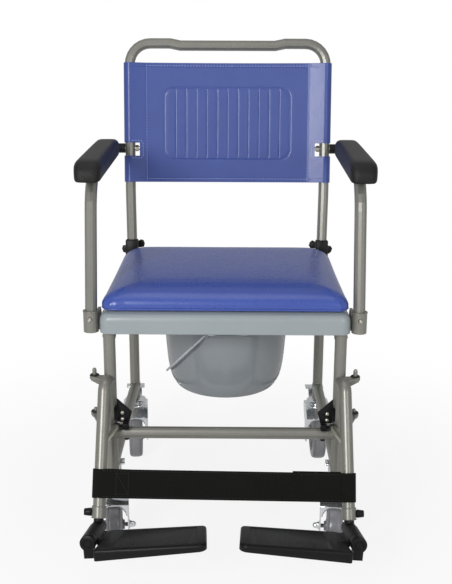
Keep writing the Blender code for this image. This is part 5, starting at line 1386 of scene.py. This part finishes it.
# %% [markdown]
# The insert's ribs run from the back of the plate to its front, 3 mm apart, and are as long as the
# tapering plate allows. A rule like this suits Geometry Nodes: a row of points is laid across the
# plate, and on each point stands a low ridge whose length runs evenly from one end to the other.

# %% Rib tree
RIB_PITCH = 0.003
rib_tree, given = new_tree("tread_ribs", {
    "Count": 45, "Pitch": RIB_PITCH, "Near length": 0.08, "Far length": 0.08, "Near middle": 0.05,
    "Far middle": 0.05, "Rib width": 0.0014, "Rib height": 0.0008,
})
step_across = combine(rib_tree, y=given["Pitch"])
row = add_node(rib_tree, "GeometryNodeMeshLine", {"Count": given["Count"], "Offset": step_across})
index = add_node(rib_tree, "GeometryNodeInputIndex").outputs[0]
share = compute(rib_tree, "DIVIDE", index, compute(rib_tree, "SUBTRACT", given["Count"], 1.0))
length, middle = [
    add_node(rib_tree, "ShaderNodeMapRange", {0: share, 3: given[f"Near {what}"], 4: given[f"Far {what}"]})
    for what in ("length", "middle")
]
ahead = combine(rib_tree, middle.outputs[0])
set_out = add_node(rib_tree, "GeometryNodeSetPosition", {"Geometry": row.outputs[0], "Offset": ahead})
ridge = add_node(rib_tree, "GeometryNodeMeshCylinder", {"Vertices": 8, "Radius": 0.5, "Depth": 1.0})
lying = add_node(rib_tree, "GeometryNodeTransform", {0: ridge.outputs[0], "Rotation": (0, math.pi / 2, 0)})
size = combine(rib_tree, length.outputs[0], given["Rib width"], given["Rib height"])
standing = add_node(rib_tree, "GeometryNodeInstanceOnPoints", {
    "Points": set_out.outputs[0], "Instance": lying.outputs[0], "Scale": size,
})
end_tree(rib_tree, given, standing.outputs[0])
print("rib tree nodes:", len(rib_tree.nodes))

# %% [markdown]
# Each footplate is five pieces: tray, ribs, the sleeve on its hinge, a web that carries the plate on
# the sleeve, and the stepped cap beyond the sleeve's end, which stays on the hanger when the plate
# folds. The profiles are given in metres: along the hinge for turned pieces, and across it for the web.

# %% Make the footplates
SLEEVE_START = 0.0126
SLEEVE_END = SLEEVE_START + 0.047
BARREL_R = 0.0140
SLEEVE = [
    (0.0086, SLEEVE_START), (BARREL_R - 0.0008, SLEEVE_START), (BARREL_R, SLEEVE_START + 0.0008),
    (BARREL_R, SLEEVE_END - 0.0008), (BARREL_R - 0.0008, SLEEVE_END), (0.0086, SLEEVE_END),
]
WEB = arc((0, 0), BARREL_R - 0.0002, 70, 20, 6) + [
    (0.0150, -0.0006), (0.0190, -0.0019), (0.0240, -0.0026), (0.0300, -0.0029), (0.0300, -0.0040),
    (0.0220, -0.0125), (0.0110, -0.0115), (0.0100, -0.0080), (0.0098, 0.0),
]
END_CAP = [
    (0.0, 0.0823), (0.0062, 0.0822), (0.0068, 0.0816), (0.0074, 0.0822), (0.0112, 0.0820),
    (0.0134, 0.0812), (0.0140, 0.0800), (0.0140, 0.0738), (0.0134, 0.0732), (0.0140, 0.0726),
    (0.0140, 0.0608), (0.0134, 0.0604), (0.0090, 0.0604), (0.0, 0.0604),
]
first_rib = PLATE_NEAR + INSERT[3] + 0.002
last_rib = PLATE_FAR - INSERT[1] - 0.0035
rib_values = {
    "Count": int((last_rib - first_rib) / RIB_PITCH) + 1, "Near length": 0.0795, "Far length": 0.0765,
    "Near middle": 0.0557, "Far middle": 0.0530,
}
for side_name, side in SIDES.items():
    body = f"foot_rest_{side_name}"
    place = foot_matrix(side)
    plate = skin(f"plate_{side_name}", plate_rings, place)
    keep(plate, nylon, body, (f"footplate_{side_name}",), sharp=50)
    ribs = run_tree(new_piece(f"plate_ribs_{side_name}", bmesh.new()), rib_tree, rib_values, nylon, body)
    ribs.data.transform(place @ Matrix.Translation((0, first_rib, top - 0.0011)))
    if place.determinant() < 0:
        ribs.data.flip_normals()
    hinge = place @ aimed((0, 0, 0), (0, 1, 0), (1, 0, 0))
    keep(turned(f"plate_sleeve_{side_name}", SLEEVE, hinge, 40, True), nylon, body)
    rings = [[(x, y, z) for y, z in WEB] for x in (SLEEVE_START + 0.003, SLEEVE_END - 0.0005)]
    keep(skin(f"plate_web_{side_name}", rings, place), nylon, body, sharp=35)
    cap = turned(f"hinge_cap_{side_name}", END_CAP, hinge, 40)
    keep(cap, nylon, f"foot_carriage_{side_name}", sharp=35)
print("ribs on each footplate:", rib_values["Count"])

# %% [markdown]
# Each hanger leaves its leg level, turns down in a tight elbow and runs on as a straight leaning tube.
# Its top end is cut to the leg's curve, as a notched tube is, so a boolean with a cylinder does that.
# Two flat eyes turn on the leg's pins, a strut holds the latch pin, and a clamp closes the lower end.

# %% Hangers
HANGER_TOP_Z = 0.3365
UPPER_EAR_Z = HANGER_TOP_Z
LOWER_EAR_Z = 0.265
EAR_R = 0.009
EAR_THICK = 0.003
PIN_OUT = 0.029
PIN_ROOM_R = 0.0043
CLAMP = [(0.0, 0.0), (0.0120, 0.0), (0.0128, 0.0008), (0.0128, 0.0212), (0.0120, 0.0220), (0.0, 0.0220)]
FERRULE = [
    (0.0031, 0.0), (0.0064, 0.0), (0.0068, 0.0005), (0.0068, 0.0035), (0.0064, 0.004), (0.0031, 0.004),
]


def upright(name, radius, x, low_z, high_z, steps=40):
    """An upright cylinder in the plane of the front legs, to cut a round notch or hole."""
    return cylinder(name, radius, (x, FRONT_LEG_Y, low_z), (x, FRONT_LEG_Y, high_z), steps)


for side_name, side in SIDES.items():
    body = f"leg_rest_{side_name}"
    low_end = hanger_axis(side, HANGER_LOW_Z)
    down = hanger_down(side)
    start = (side * (HALF_TRACK + 0.001), FRONT_LEG_Y - 0.004, HANGER_TOP_Z)
    path = rounded_path([start, hanger_axis(side, HANGER_TOP_Z), low_end], 0.022, 12)
    tube = rod(f"hanger_tube_{side_name}", path, TUBE_R, resolution=8)
    leg_room = upright("leg_room", TUBE_R + 0.0005, side * HALF_TRACK, 0.2, 0.4)
    keep(cut_by(tube, [leg_room]), powder_coat, body, (f"hanger_{side_name}",))
    keep(turned(f"clamp_{side_name}", CLAMP, aimed(low_end, (1, 0, 0), -down), 40), powder_coat, body)
    pin_x = side * (HALF_TRACK + PIN_OUT)
    upper_reach = Vector((side * (HALF_TRACK + 0.004), FRONT_LEG_Y - 0.022, 0))
    reaches = (upper_reach, hanger_axis(side, LOWER_EAR_Z))
    for i, (ear_z, reach) in enumerate(zip((UPPER_EAR_Z, LOWER_EAR_Z), reaches)):
        toward = Vector((reach.x - pin_x, reach.y - FRONT_LEG_Y, 0))
        outline = arc((0, 0), EAR_R, 60, 300, 16) + [(toward.length, -0.0075), (toward.length, 0.0075)]
        place = aimed((pin_x, FRONT_LEG_Y, ear_z + EAR_THICK + 0.0003), toward, (0, 0, 1))
        rings = [[(x, y, z) for x, y in outline] for z in (0.0, EAR_THICK)]
        plain_eye = skin(f"eye_{i}_{side_name}", rings, place)
        pin_room = upright("pin_room", PIN_ROOM_R, pin_x, ear_z - 0.01, ear_z + 0.02, 24)
        keep(cut_by(plain_eye, [pin_room]), powder_coat, body, sharp=35)
    tip = Vector((side * (HALF_TRACK - 0.0145), FRONT_LEG_Y - 0.012, 0.2515))
    strut_start = hanger_axis(side, 0.236)
    bare = (strut_start - tip).normalized() * 0.010
    keep(cylinder(f"strut_{side_name}", 0.0058, strut_start, tip + bare, 24), zinc, body)
    keep(cylinder(f"strut_pin_{side_name}", 0.003, strut_start, tip, 20), zinc, body)
    ferrule_place = aimed(tip + bare * 1.02, (0, 0, 1), -bare)
    keep(turned(f"strut_ferrule_{side_name}", FERRULE, ferrule_place, 24, True), black_rubber, body)
print("hangers: 2")

# %% [markdown]
# The calf strap is one length of webbing. It is sewn round the left hanger, runs across in front, and
# is closed with hook and loop on its rear face near the right hanger. As on the CAD chair, the band
# rides on the left leg rest and a short loop on the right one. A ribbon is built along each path, with
# a UV map in metres for the weave.

# %% Strap ribbons
STRAP_WIDTH = 0.051
STRAP_THICK = 0.0015
STRAP_SLOPE = math.radians(0.6)
STRAP_MID_Z = 0.1735
STRAP_COLUMNS = 8
inner_r = TUBE_R + 0.0013
outer_r = inner_r + STRAP_THICK
middle_r = inner_r + STRAP_THICK / 2


def strap_place(side):
    slope = Matrix.Rotation(STRAP_SLOPE, 3, (0, math.cos(HANGER_LEAN), -math.sin(HANGER_LEAN)))
    along = slope @ Vector((1, 0, 0))
    down = slope @ Vector((0, -math.sin(HANGER_LEAN), -math.cos(HANGER_LEAN)))
    left = hanger_axis(-1, STRAP_MID_Z)
    origin = left if side < 0 else hanger_axis(1, STRAP_MID_Z + along.z * 2 * abs(left.x))
    return aimed(origin, along, down)


def ribbon(name, path, matrix, shift=0.0):
    """A strip of webbing along a path of (x, y) points, upright on it, with its weave laid out flat."""
    bm = bmesh.new()
    weave_map = bm.loops.layers.uv.new("cloth")
    low = shift - STRAP_WIDTH / 2
    heights = [low + STRAP_WIDTH * i / STRAP_COLUMNS for i in range(STRAP_COLUMNS + 1)]
    columns = [[bm.verts.new((x, y, z)) for z in heights] for x, y in path]
    run = [0.0]
    for a, b in zip(path, path[1:]):
        run.append(run[-1] + math.dist(a, b))
    for i in range(len(path) - 1):
        for k in range(STRAP_COLUMNS):
            near, far = columns[i], columns[i + 1]
            face = bm.faces.new([near[k], far[k], far[k + 1], near[k + 1]])
            corners = [(run[i], heights[k]), (run[i + 1], heights[k])]
            corners += [(run[i + 1], heights[k + 1]), (run[i], heights[k + 1])]
            for loop, corner in zip(face.loops, corners):
                loop[weave_map].uv = corner
    bm.transform(matrix)
    return walled(new_piece(name, bm), STRAP_THICK), run[-1]


span = (strap_place(1).translation - strap_place(-1).translation).length
band_end = span - outer_r - 0.0006
band_path = spaced((band_end, middle_r), (0.004, middle_r), 60) + arc((0, 0), middle_r, 90, 280, 20)
UNDER_PLY = middle_r - STRAP_THICK * 1.05
band_path += spaced((0.012, -middle_r * 0.5), (0.055, UNDER_PLY), 6)
band, band_length = ribbon("calf_band", band_path, strap_place(-1))
keep(band, webbing, "leg_rest_left", ("calf_strap_left",), sharp=60)
lap_path = spaced((span - 0.100, UNDER_PLY), (band_end, UNDER_PLY), 20)
lap, lap_length = ribbon("calf_lap", lap_path, strap_place(-1), -0.0022)
keep(lap, webbing, "leg_rest_left", sharp=60)
loop_path = [(-outer_r, middle_r)] + arc((0, 0), middle_r, 90, -175, 30)
loop, loop_length = ribbon("calf_loop", loop_path, strap_place(1))
keep(loop, webbing, "leg_rest_right", ("calf_strap_right",), sharp=60)
print("band in mm:", round(band_length * 1000), "loop in mm:", round(loop_length * 1000))

# %% [markdown]
# The strap's sewn end carries a stitched rectangle with a diagonal. It is on the part of the band where
# both plies meet, just inside the left hanger. The same stitch tree sews it and the two selvedges.

# %% Strap stitches
def on_band(x, z):
    return strap_place(-1) @ Vector((x, outer_r + 0.0001, z))


box = [(0.030, -0.018), (0.052, -0.018), (0.052, 0.018), (0.030, 0.018), (0.030, -0.018), (0.052, 0.018)]
box_lines = []
for (x0, z0), (x1, z1) in zip(box, box[1:]):
    box_lines.append([on_band(x, z) for x, z in spaced((x0, z0), (x1, z1), 8)])
sew("strap_stitches", box_lines, black_thread, "leg_rest_left", 0.0036, 0.0026, 0.00035)
edge_lines = []
for edge_z in (-0.0225, 0.0225):
    edge = spaced((0.008, edge_z), (band_end - 0.004, edge_z), 60)
    edge_lines.append([on_band(x, z) for x, z in edge])
sew("strap_selvedge", edge_lines, black_thread, "leg_rest_left", 0.006, 0.0045, 0.0003)
print("strap lines:", len(box_lines) + len(edge_lines))

# %% [markdown]
# Small hardware makes the chair believable close up: screws on the latch plates, studs under the cross
# tube, washers on the leg rest's pins, rims on the sleeves and the clamp. Screws repeat, so a tree puts
# one screw head on each point of a small mesh; the other rings are turned one by one.

# %% Screw tree
screw_tree, given = new_tree("screw_heads", {
    "Head radius": 0.0034, "Head height": 0.0018, "Aim": (0.0, -1.0, 0.0),
})
dome = add_node(screw_tree, "GeometryNodeMeshUVSphere", {"Segments": 20, "Rings": 10, "Radius": 1.0})
head = add_node(screw_tree, "GeometryNodeMeshBoolean", {0: dome.outputs[0]}, operation="DIFFERENCE")
for bar_size in ((1.3, 0.28, 0.5), (0.28, 1.3, 0.5)):
    bar = add_node(screw_tree, "GeometryNodeMeshCube", {"Size": bar_size})
    raised = add_node(screw_tree, "GeometryNodeTransform", {0: bar.outputs[0], "Translation": (0, 0, 1.05)})
    screw_tree.links.new(raised.outputs[0], head.inputs[1])
turn = add_node(screw_tree, "FunctionNodeAlignRotationToVector", {"Vector": given["Aim"]}, axis="Z")
size = combine(screw_tree, given["Head radius"], given["Head radius"], given["Head height"])
heads = add_node(screw_tree, "GeometryNodeInstanceOnPoints", {
    "Points": given["Geometry"], "Instance": head.outputs[0], "Rotation": turn.outputs[0], "Scale": size,
})
end_tree(screw_tree, given, heads.outputs[0])


plate_face_y = FRONT_LEG_Y - 0.0095 - 0.0045
latch_points = [(side * 0.1895, plate_face_y, z) for side in (-1, 1) for z in (0.2738, 0.2615)]
bm = bmesh.new()
for point in latch_points:
    bm.verts.new(point)
run_tree(new_piece("latch_screws", bm), screw_tree, {"Aim": (0, -1, 0)}, zinc, "chair_frame")
print("latch screws:", len(latch_points))

# %% [markdown]
# The last rings are turned about their own axes: a rim on each arm's sleeve, two half-round rings on
# each clamp, a washer on top of each eye, and a rubber stud under each end of the cross tube.

# %% Rings, washers and studs
PIN_WASHER = [(0.0044, 0.0), (0.0078, 0.0), (0.0084, 0.0007), (0.0078, 0.0014), (0.0044, 0.0014)]
STUD = [
    (0.0, -0.0042), (0.0030, -0.0040), (0.0048, -0.0028), (0.0052, -0.0012), (0.0052, 0.004), (0.0, 0.004),
]


def collar(name, place, radius, wide, proud, body):
    """A half-round ring round local Z."""
    profile = [(radius - 0.0005, -wide / 2)]
    for i in range(7):
        angle = math.radians(30 * i)
        profile.append((radius + proud * math.sin(angle), -wide / 2 * math.cos(angle)))
    profile.append((radius - 0.0005, wide / 2))
    return keep(turned(name, profile, place, 40, True), powder_coat, body)


for side_name, side in SIDES.items():
    arm, rest = f"arm_{side_name}", f"leg_rest_{side_name}"
    down = hanger_down(side)
    low_end = hanger_axis(side, HANGER_LOW_Z)
    sleeve_top = Matrix.Translation((side * 0.2435, FRONT_LEG_Y, 0.4664))
    collar(f"sleeve_rim_{side_name}", sleeve_top, 0.0138, wide=0.0022, proud=0.0007, body=arm)
    for i, up in enumerate((0.0012, 0.0205)):
        ring_place = aimed(low_end - down * up, (1, 0, 0), down)
        collar(f"clamp_ring_{i}_{side_name}", ring_place, 0.0128, wide=0.002, proud=0.0005, body=rest)
    pin_x = side * (HALF_TRACK + PIN_OUT)
    for i, ear_z in enumerate((UPPER_EAR_Z, LOWER_EAR_Z)):
        washer_place = Matrix.Translation((pin_x, FRONT_LEG_Y, ear_z + 0.0066))
        keep(turned(f"pin_washer_{i}_{side_name}", PIN_WASHER, washer_place, 28, True), black_rubber, rest)
    stud_place = Matrix.Translation((side * 0.1840, FRONT_LEG_Y, CROSS_TUBE_Z - TUBE_R))
    keep(turned(f"cross_stud_{side_name}", STUD, stud_place, 24), black_rubber, "chair_frame")
print("rings done")

# %% [markdown]
# Camera rays see a plain white backdrop in the world and on the far floor. Mirror-like rays see a
# dimmer one, so that metal and gloss show the backdrop, and the rays that carry light to the chair get
# the level that each of the two is given below.

# %% White backdrop for camera and gloss
MIRRORED_LEVEL = 0.5


def backdrop_level(tree, lighting_level):
    seen = add_node(tree, "ShaderNodeLightPath").outputs
    mirrored = compute(tree, "MAXIMUM", seen["Is Glossy Ray"], seen["Is Transmission Ray"])
    dim = add_node(tree, "ShaderNodeMapRange", {0: mirrored, 3: lighting_level, 4: MIRRORED_LEVEL})
    return compute(tree, "MAXIMUM", seen["Is Camera Ray"], dim.outputs[0])


print("backdrop level in gloss:", MIRRORED_LEVEL)

# %% [markdown]
# The floor is a wide pale disc. Far from the chair the camera sees it plain white, so that no horizon
# shows from any side. Near the chair a seventh of what it sees is the lit floor, which keeps a faint
# shadow. The share comes from the distance to the chair, and the white part gives the chair no light.

# %% Floor
NEAR_REACH = 0.3
FAR_REACH = 1.2
NEAR_SHARE = 0.86
floor_finish, tree, shader, place = start_finish("pale_studio_floor", Roughness=0.9)
shader.inputs["Base Color"].default_value = linear("#f2f2f2")
grain = add_node(tree, "ShaderNodeTexNoise", {"Vector": place, "Scale": 3.0})
add_bump(tree, shader, grain.outputs["Fac"], 0.0005)
distance = add_node(tree, "ShaderNodeVectorMath", {0: place}, operation="LENGTH").outputs["Value"]
far = add_node(
    tree, "ShaderNodeMapRange", {0: distance, 1: NEAR_REACH, 2: FAR_REACH, 3: NEAR_SHARE, 4: 1.0},
    interpolation_type="SMOOTHSTEP",
)
share = compute(tree, "MULTIPLY", far.outputs[0], backdrop_level(tree, 0.0))
white = add_node(tree, "ShaderNodeEmission", {"Strength": 1.0})
both = add_node(tree, "ShaderNodeMixShader", {0: share, 1: shader.outputs[0], 2: white.outputs[0]})
tree.links.new(both.outputs[0], tree.nodes["Material Output"].inputs["Surface"])
bm = bmesh.new()
bmesh.ops.create_circle(bm, cap_ends=True, segments=96, radius=12)
for vert in bm.verts:
    vert.co.z = -0.0004
floor = new_piece("studio_floor", bm)
floor.data.materials.append(floor_finish)
floor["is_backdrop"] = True
print("floor made")

# %% [markdown]
# A product photographer lights such a chair with large soft sources: one ahead on the left, a weaker
# one on the right, and one overhead. The world adds an even fill and looks white to the camera.

# %% Light
def softbox(name, place, target_z, wide, tall, power):
    """A rectangular lamp aimed at a height above the chair's middle."""
    lamp = bpy.data.lights.new(name, "AREA")
    lamp.shape = "RECTANGLE"
    lamp.size = wide
    lamp.size_y = tall
    lamp.energy = power
    holder = add_object(name, lamp)
    holder.location = place
    holder.rotation_euler = (Vector((0, 0, target_z)) - Vector(place)).to_track_quat("-Z", "Y").to_euler()


softbox("key_light", (-1.0, -2.4, 1.4), 0.5, wide=0.5, tall=0.9, power=40)
softbox("fill_light", (1.35, -2.2, 1.25), 0.5, wide=0.6, tall=1.1, power=11)
softbox("top_light", (-0.2, -0.3, 2.7), 0.4, wide=1.6, tall=1.2, power=9)
world = bpy.data.worlds.new("studio")
world.use_nodes = True
bpy.context.scene.world = world
tree = world.node_tree
tree.links.new(backdrop_level(tree, 0.27), tree.nodes["Background"].inputs["Strength"])
tree.nodes["Background"].inputs["Color"].default_value = (1, 1, 1, 1)
bpy.context.scene.view_settings.view_transform = "Standard"
print("lamps: 3")

# %% Sizes and the end
low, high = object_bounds()
